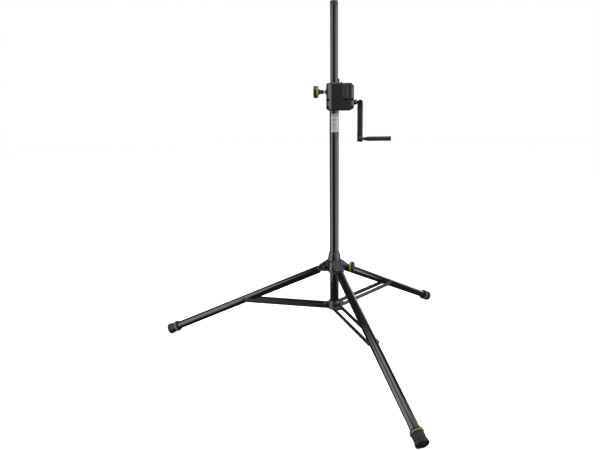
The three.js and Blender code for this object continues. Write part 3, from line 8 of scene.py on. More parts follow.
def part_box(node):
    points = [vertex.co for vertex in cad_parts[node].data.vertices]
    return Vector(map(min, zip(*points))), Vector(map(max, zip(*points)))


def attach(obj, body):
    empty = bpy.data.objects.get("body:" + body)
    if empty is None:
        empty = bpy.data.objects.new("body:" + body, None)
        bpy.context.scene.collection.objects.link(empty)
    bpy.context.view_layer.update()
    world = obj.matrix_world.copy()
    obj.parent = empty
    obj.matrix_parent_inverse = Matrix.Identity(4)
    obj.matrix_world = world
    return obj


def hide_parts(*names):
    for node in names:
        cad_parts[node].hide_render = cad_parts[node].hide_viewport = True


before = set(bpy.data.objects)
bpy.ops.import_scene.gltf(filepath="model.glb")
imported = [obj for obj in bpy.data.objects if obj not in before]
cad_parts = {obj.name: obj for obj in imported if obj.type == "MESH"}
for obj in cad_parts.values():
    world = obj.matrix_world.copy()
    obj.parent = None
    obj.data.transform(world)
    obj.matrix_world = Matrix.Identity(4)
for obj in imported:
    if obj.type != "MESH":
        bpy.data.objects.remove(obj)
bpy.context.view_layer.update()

MM = 0.001


# ---- Places, taken from the frame ----
# Shapes are drawn in millimetres. The stand's own frame has the mast on its Z axis and the floor at Z = 0.


def middle(node):
    low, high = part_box(node)
    return (low + high) / 2


PLAN = middle("outer_tube") * Vector((1, 1, 0))


def span(node):
    """A node's lowest and highest corners in the stand's frame, in millimetres."""
    low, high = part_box(node)
    return (low - PLAN) / MM, (high - PLAN) / MM


MAST = Matrix.Translation(PLAN) @ Matrix.Scale(MM, 4)
LIE_ALONG_X = Matrix.Rotation(math.radians(90), 4, "Y")
LIE_ALONG_Y = Matrix.Rotation(math.radians(-90), 4, "X")
STAND_UP = Matrix.Rotation(math.radians(90), 4, "X")  # a plate drawn in XY, stood in the XZ plane


def at(x=0.0, y=0.0, z=0.0):
    return Matrix.Translation((x, y, z))


def about_z(degrees):
    return Matrix.Rotation(math.radians(degrees), 4, "Z")


SIDES = ("left", "front", "right")
OUTER_TUBE = span("outer_tube")
INNER_TUBE = span("inner_tube")
OUTER_RADIUS = OUTER_TUBE[1].x
INNER_RADIUS = 17.5
SLIDE_BORE = OUTER_RADIUS + 0.3
HUB = span("tripod_hub")
LEG_RADIUS = 19.0
SPIDER_R = 45.0
PIVOT_HEIGHT = middle("left_pivot_bolt").z / MM


class Leg:
    """One leg's pivot, slope and length, and its frame with X down the leg and Y across it."""

    def __init__(self, side):
        tube = middle(f"{side}_leg_tube")
        ring = middle(f"{side}_foot_ring")
        down = (ring - tube).normalized()
        pivot = tube + down * ((PIVOT_HEIGHT * MM - tube.z) / down.z)
        self.azimuth = math.atan2(down.y, down.x)
        across = Vector((-math.sin(self.azimuth), math.cos(self.azimuth), 0))
        self.frame = axes(down, across, pivot)
        self.slope = math.asin(-down.z)
        self.pivot_r = (pivot - PLAN).to_2d().length / MM
        self.ring = (ring - pivot).length / MM
        low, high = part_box(f"{side}_leg_tube")
        height = (high.z - low.z) / MM
        length = (height - 2 * LEG_RADIUS * math.cos(self.slope)) / math.sin(self.slope)
        self.start = (tube - pivot).length / MM - length / 2
        self.end = self.start + length
        self.upright = MAST @ about_z(math.degrees(self.azimuth))


def axes(x, y, origin):
    """A frame in metres for shapes in millimetres, from its X and Y directions."""
    z = x.cross(y)
    columns = Matrix((x, y, z)).transposed().to_4x4()
    return Matrix.Translation(origin) @ columns @ Matrix.Scale(MM, 4)


LEGS = {side: Leg(side) for side in SIDES}


# ---- Camera, floor and light ----

EYE_BACK = 2.572  # metres in front of the mast
EYE_HEIGHT = 1.2128
EYE_YAW = math.radians(-3.592)
EYE_PITCH = math.radians(13.046)
EYE_ROLL = math.radians(-0.882)
LENS = 33.64


def build_camera():
    camera = bpy.data.cameras.new("camera")
    camera.lens = LENS
    camera.sensor_width = 36
    camera.clip_end = 100
    forward = Vector((math.sin(EYE_YAW) * math.cos(EYE_PITCH), math.cos(EYE_YAW) * math.cos(EYE_PITCH),
                      -math.sin(EYE_PITCH)))
    level = Vector((math.cos(EYE_YAW), -math.sin(EYE_YAW), 0))
    upright = level.cross(forward)
    right = level * math.cos(EYE_ROLL) + upright * math.sin(EYE_ROLL)
    up = upright * math.cos(EYE_ROLL) - level * math.sin(EYE_ROLL)
    holder = bpy.data.objects.new("camera", camera)
    holder.matrix_world = Matrix.Translation(PLAN + Vector((0, -EYE_BACK, EYE_HEIGHT))) @ Matrix(
        (right, up, -forward)).transposed().to_4x4()
    bpy.context.scene.collection.objects.link(holder)
    bpy.context.scene.camera = holder


def srgb(code):
    """A #rrggbb colour as linear RGBA."""
    parts = [int(code[i:i + 2], 16) / 255 for i in (1, 3, 5)]
    return tuple(c / 12.92 if c <= 0.04045 else ((c + 0.055) / 1.055) ** 2.4 for c in parts) + (1.0,)


def add(tree, kind, inputs=None, **settings):
    """A node of that kind with its settings. An input is set to a value, or linked if given a socket."""
    made = tree.nodes.new(kind)
    for name, value in settings.items():
        setattr(made, name, value)
    for name, value in (inputs or {}).items():
        if isinstance(value, bpy.types.NodeSocket):
            tree.links.new(value, made.inputs[name])
        else:
            made.inputs[name].default_value = value
    return made


def build_world():
    """A white room to the eye and for soft fill, but dim in reflections, so that black keeps dark edges."""
    world = bpy.data.worlds.new("studio")
    bpy.context.scene.world = world
    world.use_nodes = True
    tree = world.node_tree
    tree.nodes.clear()
    path = add(tree, "ShaderNodeLightPath")
    white = add(tree, "ShaderNodeBackground", {"Color": srgb("#ffffff"), "Strength": 1.0})
    dim = add(tree, "ShaderNodeBackground", {"Color": srgb("#f4f6ff"), "Strength": 0.05})
    fill = add(tree, "ShaderNodeBackground", {"Color": srgb("#ffffff"), "Strength": 0.3})
    soft = add(tree, "ShaderNodeMixShader", {0: path.outputs["Is Glossy Ray"], 1: fill.outputs[0],
                                            2: dim.outputs[0]})
    seen = add(tree, "ShaderNodeMixShader", {0: path.outputs["Is Camera Ray"], 1: soft.outputs[0],
                                            2: white.outputs[0]})
    add(tree, "ShaderNodeOutputWorld", {"Surface": seen.outputs[0]})
    bpy.context.scene.view_settings.view_transform = "Standard"


def panel_light(name, azimuth, distance, height, width, tall, radiance):
    """A softbox that faces the mast. Azimuth 0 stands in front of the stand, and 90 on its right."""
    light = bpy.data.lights.new(name, "AREA")
    light.shape = "RECTANGLE"
    light.size = width
    light.size_y = tall
    light.energy = radiance * math.pi * width * tall
    turn = math.radians(azimuth)
    place = PLAN + Vector((distance * math.sin(turn), -distance * math.cos(turn), height))
    holder = bpy.data.objects.new(name, light)
    holder.location = place
    target = PLAN + Vector((0, 0, min(height, 0.9)))
    holder.rotation_mode = "QUATERNION"
    holder.rotation_quaternion = (target - place).to_track_quat("-Z", "Y")
    holder.visible_camera = False
    bpy.context.scene.collection.objects.link(holder)


def build_lights():
    panel_light("softbox_left", -68, 2.6, 0.9, 2.4, 3.8, 3.0)
    panel_light("softbox_right", 38, 2.8, 0.9, 2.0, 3.8, 1.7)
    panel_light("softbox_far_right", 82, 2.6, 0.9, 1.9, 3.8, 3.4)
    panel_light("rim_left", -150, 2.6, 1.1, 1.2, 2.8, 1.6)
    panel_light("rim_right", 150, 2.6, 1.1, 1.2, 2.8, 1.6)
    panel_light("overhead", 10, 0.6, 3.0, 2.4, 1.6, 3.4)


def build_floor():
    bm = bmesh.new()
    bmesh.ops.create_circle(bm, cap_ends=True, segments=96, radius=14)
    mesh = bpy.data.meshes.new("floor")
    bm.to_mesh(mesh)
    bm.free()
    floor = bpy.data.objects.new("floor", mesh)
    floor.location.z = -0.0004
    material = bpy.data.materials.new("backlit_white_acrylic")
    material.use_nodes = True
    tree = material.node_tree
    tree.nodes.clear()
    where = add(tree, "ShaderNodeTexCoord").outputs["Object"]
    fibre = add(tree, "ShaderNodeTexNoise", {"Vector": where, "Scale": 300.0, "Detail": 3.0})
    bump = add(tree, "ShaderNodeBump", {"Height": fibre.outputs["Fac"], "Strength": 0.05, "Distance": 0.0003})
    paper = add(tree, "ShaderNodeBsdfPrincipled", {"Base Color": srgb("#fbfbfb"), "Roughness": 0.9,
                                                  "Normal": bump.outputs["Normal"],
                                                  "Emission Color": srgb("#ffffff"),
                                                  "Emission Strength": 0.72})
    add(tree, "ShaderNodeOutputMaterial", {"Surface": paper.outputs[0]})
    mesh.materials.append(material)
    bpy.context.scene.collection.objects.link(floor)
    floor.visible_glossy = False
    floor.visible_diffuse = False


# ---- Finishes ----
# Each finish is a material and the record's slot that it belongs to.


def per_mm(size):
    """A texture's scale from the real size of its pattern in millimetres."""
    return 1 / (size * MM)


class Finish:
    """A material in the making. Its patterns are drawn in the piece's own coordinates."""

    def __init__(self, name, slot, **shader_inputs):
        self.material = bpy.data.materials.new(name)
        self.material.use_nodes = True
        self.material["slot"] = slot
        self.tree = self.material.node_tree
        self.tree.nodes.clear()
        self.where = add(self.tree, "ShaderNodeTexCoord").outputs["Object"]
        inputs = {key.replace("_", " "): value for key, value in shader_inputs.items()}
        self.shader = add(self.tree, "ShaderNodeBsdfPrincipled", inputs)
        add(self.tree, "ShaderNodeOutputMaterial", {"Surface": self.shader.outputs["BSDF"]})

    def noise(self, size, detail, roughness=0.5):
        inputs = {"Vector": self.where, "Scale": per_mm(size), "Detail": detail, "Roughness": roughness}
        return add(self.tree, "ShaderNodeTexNoise", inputs).outputs["Fac"]

    def cells(self, size, **settings):
        inputs = {"Vector": self.where, "Scale": per_mm(size)}
        return add(self.tree, "ShaderNodeTexVoronoi", inputs, **settings)

    def stretch_along_z(self, share):
        """Patterns made after this are drawn out along Z."""
        self.where = add(self.tree, "ShaderNodeMapping",
                         {"Vector": self.where, "Scale": (1.0, 1.0, share)}).outputs[0]

    def colour(self, pattern, dark, light):
        mix = add(self.tree, "ShaderNodeMix", {0: pattern, 6: dark, 7: light}, data_type="RGBA")
        self.tree.links.new(mix.outputs[2], self.shader.inputs["Base Color"])

    def gloss(self, pattern, smooth, rough, low=0.0, high=1.0):
        """Roughness from smooth to rough, as the pattern goes from low to high."""
        inputs = {"Value": pattern, "From Min": low, "From Max": high, "To Min": smooth, "To Max": rough}
        span_of_gloss = add(self.tree, "ShaderNodeMapRange", inputs)
        self.tree.links.new(span_of_gloss.outputs["Result"], self.shader.inputs["Roughness"])

    def bump(self, pattern, strength, depth):
        """A relief of that depth in millimetres."""
        inputs = {"Height": pattern, "Strength": strength, "Distance": depth * MM}
        relief = add(self.tree, "ShaderNodeBump", inputs)
        self.tree.links.new(relief.outputs["Normal"], self.shader.inputs["Normal"])


# Painted and anodised skins share a hard clear gloss over their colour.
HARD_SKIN = {"IOR": 1.5, "Specular_IOR_Level": 0.6}
NOISE_LOW, NOISE_HIGH = 0.3, 0.7  # where nearly all of a noise pattern's values lie


def powder_coated_tube():
    """Steel tube, sprayed with satin black powder: an even gloss with fine orange peel and faint rubs."""
    paint = Finish("powder_coated_steel_tube", "tube_black", **HARD_SKIN)
    peel = paint.noise(1.6, 2.0)
    rubs = paint.noise(45, 5.0, 0.65)
    paint.colour(rubs, srgb("#0a0a0b"), srgb("#131314"))
    paint.gloss(rubs, 0.13, 0.2, NOISE_LOW, NOISE_HIGH)
    paint.bump(peel, 0.12, 0.06)
    return paint.material


def drawn_and_blackened_tube():
    """Aluminium tube, drawn and black anodised: satin, with drawing lines along it where the guides rub."""
    skin = Finish("anodised_aluminium_tube", "tube_black", **HARD_SKIN)
    skin.stretch_along_z(0.02)
    lines = skin.noise(0.9, 4.0)
    skin.colour(lines, srgb("#0a0a0b"), srgb("#151516"))
    skin.gloss(lines, 0.15, 0.23, NOISE_LOW, NOISE_HIGH)
    skin.bump(lines, 0.1, 0.03)
    return skin.material


def painted_casting():
    """Aluminium, die cast and painted black: a softer gloss over the slightly grained skin of the mould."""
    paint = Finish("painted_die_cast_aluminium", "casting_black", **HARD_SKIN)
    grain = paint.noise(1.1, 4.0, 0.6)
    flow = paint.noise(22, 3.0)
    paint.colour(flow, srgb("#141415"), srgb("#1d1d1f"))
    paint.gloss(flow, 0.25, 0.34, NOISE_LOW, NOISE_HIGH)
    paint.bump(grain, 0.12, 0.08)
    return paint.material


def textured_nylon(name, dark, light):
    """Glass-filled nylon, moulded in a spark-eroded tool: a dark grey with a fine leather-like pebble."""
    nylon = Finish(name, "plastic_black", IOR=1.53)
    # The real pebble is about 0.3 mm; it is drawn at 0.8 mm so that it shows.
    voronoi = nylon.cells(0.8, feature="SMOOTH_F1")
    voronoi.inputs["Smoothness"].default_value = 0.6
    pebble = voronoi.outputs["Distance"]
    nylon.colour(nylon.noise(30, 4.0), srgb(dark), srgb(light))
    nylon.gloss(pebble, 0.22, 0.34)
    nylon.bump(pebble, 0.12, 0.06)
    return nylon.material


def smooth_black_plastic():
    """Polyamide, moulded in a polished tool: knobs, plugs and the grip, with hand-worn gloss."""
    plastic = Finish("moulded_polyamide", "plastic_black", IOR=1.53, Specular_IOR_Level=0.38)
    worn = plastic.noise(14, 5.0, 0.6)
    plastic.colour(worn, srgb("#0d0d0e"), srgb("#161617"))
    plastic.gloss(worn, 0.3, 0.45, NOISE_LOW, NOISE_HIGH)
    plastic.bump(plastic.noise(0.7, 2.0), 0.12, 0.05)
    return plastic.material


def moulded_rubber():
    """Rubber, compression moulded: matt black with a bloom of grey dust from the floor."""
    rubber = Finish("moulded_rubber", "rubber_black", IOR=1.52, Specular_IOR_Level=0.35)
    bloom = rubber.noise(9, 6.0, 0.7)
    rubber.colour(bloom, srgb("#0e0e0e"), srgb("#1b1b1b"))
    rubber.gloss(bloom, 0.5, 0.72)
    rubber.bump(rubber.noise(0.8, 3.0), 0.3, 0.1)
    return rubber.material


def green_elastomer():
    """Soft green elastomer, moulded: a saturated leaf green with a satin skin, a little deeper in places."""
    green = Finish("moulded_green_elastomer", "green_plastic", IOR=1.5)
    cloud = green.noise(8, 4.0)
    green.colour(cloud, srgb("#567516"), srgb("#6c8f20"))
    green.gloss(cloud, 0.36, 0.5)
    green.bump(green.noise(0.6, 2.0), 0.15, 0.06)
    return green.material


def metal(name, slot, dark, light, size, rough, lines=1.0):
    """A metal whose colour and gloss wander between two values over patches of that size in millimetres."""
    bare = Finish(name, slot, Metallic=1.0)
    bare.stretch_along_z(lines)
    patch = bare.noise(size, 5.0)
    bare.colour(patch, srgb(dark), srgb(light))
    bare.gloss(patch, rough - 0.06, rough + 0.08, NOISE_LOW, NOISE_HIGH)
    bare.bump(patch, 0.15, 0.04)
    return bare.material


def painted_shadow_sheet_finish():
    """A dead black with a faint cell pattern: painted shadow for the crescent recess under the raised panel.
    """
    shadow_paint = Finish("painted_shadow_black", "rubber_black", IOR=1.5, Specular_IOR_Level=0.08, Roughness=0.95)
    cells = shadow_paint.cells(0.7).outputs["Distance"]
    shadow_paint.colour(cells, srgb("#050505"), srgb("#0b0b0b"))
    shadow_paint.bump(cells, 0.5, 0.2)
    return shadow_paint.material


def brace_coating():
    """Steel strip, pressed and sprayed black: flatter and a little greyer than the tubes."""
    paint = Finish("powder_coated_steel_strip", "steel_black", **HARD_SKIN)
    rubs = paint.noise(25, 5.0)
    paint.colour(rubs, srgb("#141415"), srgb("#1e1e1f"))
    paint.gloss(rubs, 0.3, 0.44)
    paint.bump(paint.noise(1.4, 3.0), 0.2, 0.08)
    return paint.material


def printed_film(name, ink):
    """Polyester label film, printed: a faint silver grey or one ink on it, under a thin gloss varnish."""
    film = Finish(name, "tube_label", Roughness=0.35, Coat_Weight=0.4, Coat_Roughness=0.15)
    pale = tuple(min(1.0, part * 1.12) for part in srgb(ink)[:3]) + (1.0,)
    film.colour(film.noise(1.2, 4.0), srgb(ink), pale)
    return film.material


def natural_acetal():
    """Acetal, turned or moulded uncoloured: waxy off-white guide bushes and pads."""
    acetal = Finish("natural_acetal", "nylon", IOR=1.48, Subsurface_Weight=0.1,
                    Subsurface_Radius=(0.004, 0.003, 0.002))
    grime = acetal.noise(6, 5.0)
    acetal.colour(grime, srgb("#c9c6ba"), srgb("#e4e2d9"))
    acetal.gloss(grime, 0.35, 0.55)
    return acetal.material


TUBE = powder_coated_tube()
DRAWN_TUBE = drawn_and_blackened_tube()
CASTING = painted_casting()
NYLON_CASE = textured_nylon("moulded_glass_filled_nylon", "#1c1c1d", "#222223")
# The raised panel gets a paler copy of the case's nylon: a painted highlight standing in for light catching
# its raised rim.
NYLON_PANEL_PAINTED_HIGHLIGHT = textured_nylon("glass_filled_nylon_painted_highlight", "#2d2d2e", "#343435")
PLASTIC = smooth_black_plastic()
RUBBER = moulded_rubber()
# A dead black used only for the sheet under the panel: painted shadow.
PAINTED_SHADOW_BLACK = painted_shadow_sheet_finish()
GREEN = green_elastomer()
STRIP = brace_coating()
ACETAL = natural_acetal()
# Screws and bolts, blackened in an oxide bath: dark blue-grey metal.
BLACK_STEEL = metal("black_oxide_steel", "steel_black", "#1c1d20", "#33353a", 5, 0.36)
# Shafts, gears and the rack, zinc plated after machining: bright, slightly blue, with fine turning lines.
ZINC = metal("zinc_plated_steel", "steel_bright", "#8f9296", "#c2c4c6", 3, 0.3, lines=0.2)
# Plain bearings, sintered and oiled: a dull warm bronze.
BRONZE = metal("sintered_bronze", "bronze", "#6f5430", "#a58250", 1.5, 0.42)


# ---- Shapes ----


def arc(x, y, radius, start, end, steps=12):
    """Points on an arc, from one angle to another in degrees."""
    turns = [math.radians(start + (end - start) * k / steps) for k in range(steps + 1)]
    return [(x + radius * math.cos(t), y + radius * math.sin(t)) for t in turns]


def rounded(points, radius, closed=False, steps=4):
    """An outline with its corners made into arcs. A third number on a point is that corner's own radius."""
    made = []
    count = len(points)
    for k, point in enumerate(points):
        here = Vector(point[:2])
        wanted = point[2] if len(point) > 2 else radius
        to_last = Vector(points[k - 1][:2]) - here
        to_next = Vector(points[(k + 1) % count][:2]) - here
        at_end = not closed and k in (0, count - 1)
        if at_end or wanted <= 0 or to_last.length < 1e-6 or to_next.length < 1e-6:
            made.append(here)
            continue
        opening = to_last.angle(to_next)
        if opening > math.radians(174):
            made.append(here)
            continue
        reach = min(wanted / math.tan(opening / 2), 0.48 * to_last.length, 0.48 * to_next.length)
        bisector = (to_last.normalized() + to_next.normalized()).normalized()
        centre = here + bisector * (reach / math.cos(opening / 2))
        first = here + to_last.normalized() * reach - centre
        last = here + to_next.normalized() * reach - centre
        sweep = first.angle(last)
        for step in range(steps + 1):
            share = step / steps
            spoke = (first * math.sin((1 - share) * sweep) + last * math.sin(share * sweep)) / math.sin(sweep)
            made.append(centre + spoke)
    return [tuple(point) for point in made]


def turned(outline, sides=72, closed=False):
    """A body turned about Z from [radius, height] points; a closed outline makes a ring."""
    bm = bmesh.new()
    rings = []
    for radius, height in outline:
        if radius < 1e-4:
            rings.append([bm.verts.new((0, 0, height))])
        else:
            turns = [2 * math.pi * k / sides for k in range(sides)]
            rings.append([bm.verts.new((radius * math.cos(t), radius * math.sin(t), height)) for t in turns])
    pairs = list(zip(rings, rings[1:]))
    if closed:
        pairs.append((rings[-1], rings[0]))
    for low, high in pairs:
        for k in range(sides):
            after = (k + 1) % sides
            corners = [low[k % len(low)], low[after % len(low)], high[after % len(high)], high[k % len(high)]]
            corners = list(dict.fromkeys(corners))
            if len(corners) > 2:
                bm.faces.new(corners)
    bmesh.ops.recalc_face_normals(bm, faces=bm.faces)
    return bm


def tube(bore, radius, low, high, edge):
    corners = [(bore, low), (radius, low), (radius, high), (bore, high)]
    return turned(rounded(corners, edge, closed=True, steps=3), 96, closed=True)


def rod(radius, low, high, edge=0.4, sides=48):
    return turned(rounded([(0, low), (radius, low), (radius, high), (0, high)], edge, steps=3), sides)


def prism(outline, low, high, edge=0.0, steps=3):
    """A plate of that outline in XY between two heights, its two faces' edges rounded."""
    bm = bmesh.new()
    feet = [bm.verts.new((x, y, low)) for x, y in outline]
    tops = [bm.verts.new((x, y, high)) for x, y in outline]
    bm.faces.new(feet[::-1])
    bm.faces.new(tops)
    count = len(outline)
    for k in range(count):
        after = (k + 1) % count
        bm.faces.new((feet[k], feet[after], tops[after], tops[k]))
    bmesh.ops.recalc_face_normals(bm, faces=bm.faces)
    if edge > 0:
        rims = [e for e in bm.edges if abs(e.verts[0].co.z - e.verts[1].co.z) < 1e-6]
        bmesh.ops.bevel(bm, geom=rims, offset=edge, segments=steps, profile=0.5, affect="EDGES",
                        clamp_overlap=True)
    return bm


def plate(outline, near, far, edge=0.0, steps=3):
    """A plate whose outline lies in the XZ plane, from Y = near to Y = far."""
    return moved(prism(outline, -far, -near, edge, steps), STAND_UP)


def block(low, high):
    """A sharp-edged box between two opposite corners."""
    outline = [(low[0], low[1]), (high[0], low[1]), (high[0], high[1]), (low[0], high[1])]
    return prism(outline, low[2], high[2])


def moved(bm, matrix):
    bm.transform(matrix)
    return bm


def work_object(bm):
    mesh = bpy.data.meshes.new("work")
    bm.to_mesh(mesh)
    bm.free()
    holder = bpy.data.objects.new("work", mesh)
    bpy.context.scene.collection.objects.link(holder)
    return holder


def shaped(body, joins=(), cuts=(), skin=None, smoothing=0):
    """The body with solids joined on and cut away. A skin size gives it the rounded corners of a casting."""
    target = work_object(body)
    tools = []
    for operation, others in (("UNION", joins), ("DIFFERENCE", cuts)):
        for other in others:
            tool = work_object(other)
            tools.append(tool)
            step = target.modifiers.new("step", "BOOLEAN")
            step.operation = operation
            step.object = tool
            step.solver = "EXACT"
    if skin:
        remesh = target.modifiers.new("skin", "REMESH")
        remesh.mode = "VOXEL"
        remesh.voxel_size = skin
        soften = target.modifiers.new("soften", "SMOOTH")
        soften.factor = 0.5
        soften.iterations = smoothing
    bpy.context.view_layer.update()
    made = bmesh.new()
    made.from_object(target, bpy.context.evaluated_depsgraph_get())
    for holder in (target, *tools):
        mesh = holder.data
        bpy.data.objects.remove(holder)
        bpy.data.meshes.remove(mesh)
    bmesh.ops.remove_doubles(made, verts=made.verts, dist=1e-3)
    return made


def make(name, bm, place, material, body, *replaced, sharp=32):
    """A finished piece: put in place, shaded smooth up to its sharp edges, and tied to its body."""
    bm.transform(place)
    bmesh.ops.recalc_face_normals(bm, faces=bm.faces)
    for face in bm.faces:
        face.smooth = True
    for edge in bm.edges:
        edge.smooth = edge.calc_face_angle(0.0) < math.radians(sharp)
    mesh = bpy.data.meshes.new(name)
    bm.to_mesh(mesh)
    bm.free()
    mesh.materials.append(material)
    piece = bpy.data.objects.new(name, mesh)
    bpy.context.scene.collection.objects.link(piece)
    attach(piece, body)
    if replaced:
        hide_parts(*replaced)
    return piece


def socket_head(radius, height, socket=0.55, shank=0.0, shank_radius=0.0):
    """A screw head with a hexagon socket, its top at Z = 0 and facing up, and its shank below."""
    corners = [(0, -height)]
    if shank:
        corners = [(0, -height - shank), (shank_radius, -height - shank), (shank_radius, -height)]
    corners += [(radius, -height), (radius, 0, 0.5), (0, 0)]
    head = turned(rounded(corners, 0.2, steps=3), 40)
    hexagon = prism(arc(0, 0, radius * socket, 0, 300, 5), -height * 0.6, 1)
    return shaped(head, cuts=[hexagon])


# ---- Mast tubes ----

OUTER_WALL = 2.0
INNER_WALL = 2.5
RACK = span("rack")
FACE_GEAR = span("face_gear")
BRAKE_HEIGHT = middle("brake_knob").z / MM
SHAFT_HEIGHT = middle("crank_shaft").z / MM


def build_outer_tube():
    low, high = OUTER_TUBE
    gear_low, gear_high = FACE_GEAR
    window = block((gear_low.x - 2, -OUTER_RADIUS - 1, gear_low.z - 2.5),
                   (OUTER_RADIUS + 1, RACK[1].y + 4, gear_high.z + 2.5))
    pad_hole = moved(rod(5.3, -OUTER_RADIUS - 1, -OUTER_RADIUS + 3), at(z=BRAKE_HEIGHT) @ LIE_ALONG_X)
    wall = tube(OUTER_RADIUS - OUTER_WALL, OUTER_RADIUS, low.z, high.z, 0.5)
    make("mast_outer_tube", shaped(wall, cuts=[window, pad_hole]), MAST, TUBE, "mast", "outer_tube")


def build_end_plug():
    low, high = span("mast_end_plug")
    spigot = OUTER_RADIUS - OUTER_WALL - 0.3
    flange = OUTER_TUBE[0].z - 0.3
    corners = [(0, low.z + 1.5), (12, low.z + 1.5, 2), (14, low.z, 1), (OUTER_RADIUS, low.z, 1.2),
               (OUTER_RADIUS, flange, 0.5), (spigot, flange), (spigot, high.z, 1), (0, high.z)]
    make("mast_foot_plug", turned(rounded(corners, 0.3), 96), MAST, PLASTIC, "mast", "mast_end_plug")


def build_inner_tube():
    low, high = INNER_TUBE
    slot_half = RACK[1].y + 0.4
    spare = 10
    slot = block((0, -slot_half, RACK[0].z - spare), (INNER_RADIUS + 1, slot_half, RACK[1].z + spare))
    wall = tube(INNER_RADIUS - INNER_WALL, INNER_RADIUS, low.z, high.z, 0.5)
    make("mast_inner_tube", shaped(wall, cuts=[slot]), MAST, DRAWN_TUBE, "lift", "inner_tube")


def build_top_cap():
    low, high = span("top_cap")
    seat = INNER_TUBE[1].z + 0.3
    spigot = INNER_RADIUS - INNER_WALL - 0.3
    top = high.z
    corners = [(0, low.z), (spigot, low.z, 1), (spigot, seat), (INNER_RADIUS, seat, 0.3),
               (INNER_RADIUS, top - 3.5, 1.6), (INNER_RADIUS - 3.5, top, 1.2), (7, top, 0.6),
               (6, top - 0.8, 0.4),
               (0, top - 0.8)]
    make("mast_top_cap", turned(rounded(corners, 0.3), 96), MAST, PLASTIC, "lift", "top_cap")


# ---- Winch housing ----

CASE_LOW = span("housing_cover")[0].copy()
CASE_HIGH = span("housing_back")[1].copy()
CASE_LEFT = -36.0
CASE_DEPTH = CASE_HIGH.y  # from the mast's axis to the front and to the back
CASE_TOP_ROUND = 3.0
CASE_FOOT_CHAMFER = 7.0
CASE_RIGHT_CHAMFER = 12.0
CASE_LEFT_CHAMFER = 4.0
LEFT_ROUND = 35.5
RIGHT_ROUND = 15.0
PARTING = 0.15  # how far behind the mast's axis the two shells meet


def case_body(wall=0.0, low=CASE_LOW.z, high=CASE_HIGH.z):
    """The housing's outside, or a hollow drawn in from it by the wall."""
    foot = 0.0 if wall else CASE_FOOT_CHAMFER
    crown = 0.0 if wall else CASE_TOP_ROUND
    levels = [(low, foot), (low + foot, 0.0)] if foot else [(low, 0.0)]
    for inset in (2, 6, 9, CASE_RIGHT_CHAMFER):
        levels.append((low + foot + inset, 0.0))
        levels.append((high - crown - inset, 0.0))
    if crown:
        levels += [(high - crown + crown * math.sin(math.radians(t)),
                    crown - crown * math.cos(math.radians(t)))
                   for t in (0, 22.5, 45, 67.5, 90)]
    else:
        levels.append((high, 0.0))
    bm = bmesh.new()
    rings = []
    for z, inset in sorted(set(levels)):
        corner = max(0.0, CASE_RIGHT_CHAMFER - (high - z),
                     CASE_RIGHT_CHAMFER - (z - low)) if not wall else 0.0
        notch = max(0.0, CASE_LEFT_CHAMFER - (high - z), CASE_LEFT_CHAMFER - (z - low)) if not wall else 0.0
        drawn_in = wall + inset
        left = CASE_LEFT + drawn_in + notch
        right = CASE_HIGH.x - drawn_in - corner
        half = CASE_DEPTH - drawn_in
        big = LEFT_ROUND - drawn_in
        small = RIGHT_ROUND - drawn_in
        outline = arc(left + big, -half + big, big, 180, 270) + arc(right - small, -half + small, small, 270,
                                                                    360)
        outline += arc(right - small, half - small, small, 0, 90) + arc(left + big, half - big, big, 90, 180)
        rings.append([bm.verts.new((x, y, z)) for x, y in outline])
    for below, above in zip(rings, rings[1:]):
        for k in range(len(below)):
            after = (k + 1) % len(below)
            bm.faces.new((below[k], below[after], above[after], above[k]))
    bm.faces.new(rings[0][::-1])
    bm.faces.new(rings[-1])
    bmesh.ops.recalc_face_normals(bm, faces=bm.faces)
    return bm


def obround(x, low, high, width):
    """An upright slot's outline with half-round ends."""
    radius = width / 2
    return arc(x, low + radius, radius, 180, 360, 14) + arc(x, high - radius, radius, 0, 180, 14)


CASE_SCREWS = {name: middle(name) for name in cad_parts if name.startswith("housing_screw_")}
PANEL_X = 50.0
PANEL_WIDTH = 24.0
PANEL_LOW = 1194.0


def screw_place(name):
    return (CASE_SCREWS[name] - PLAN) / MM


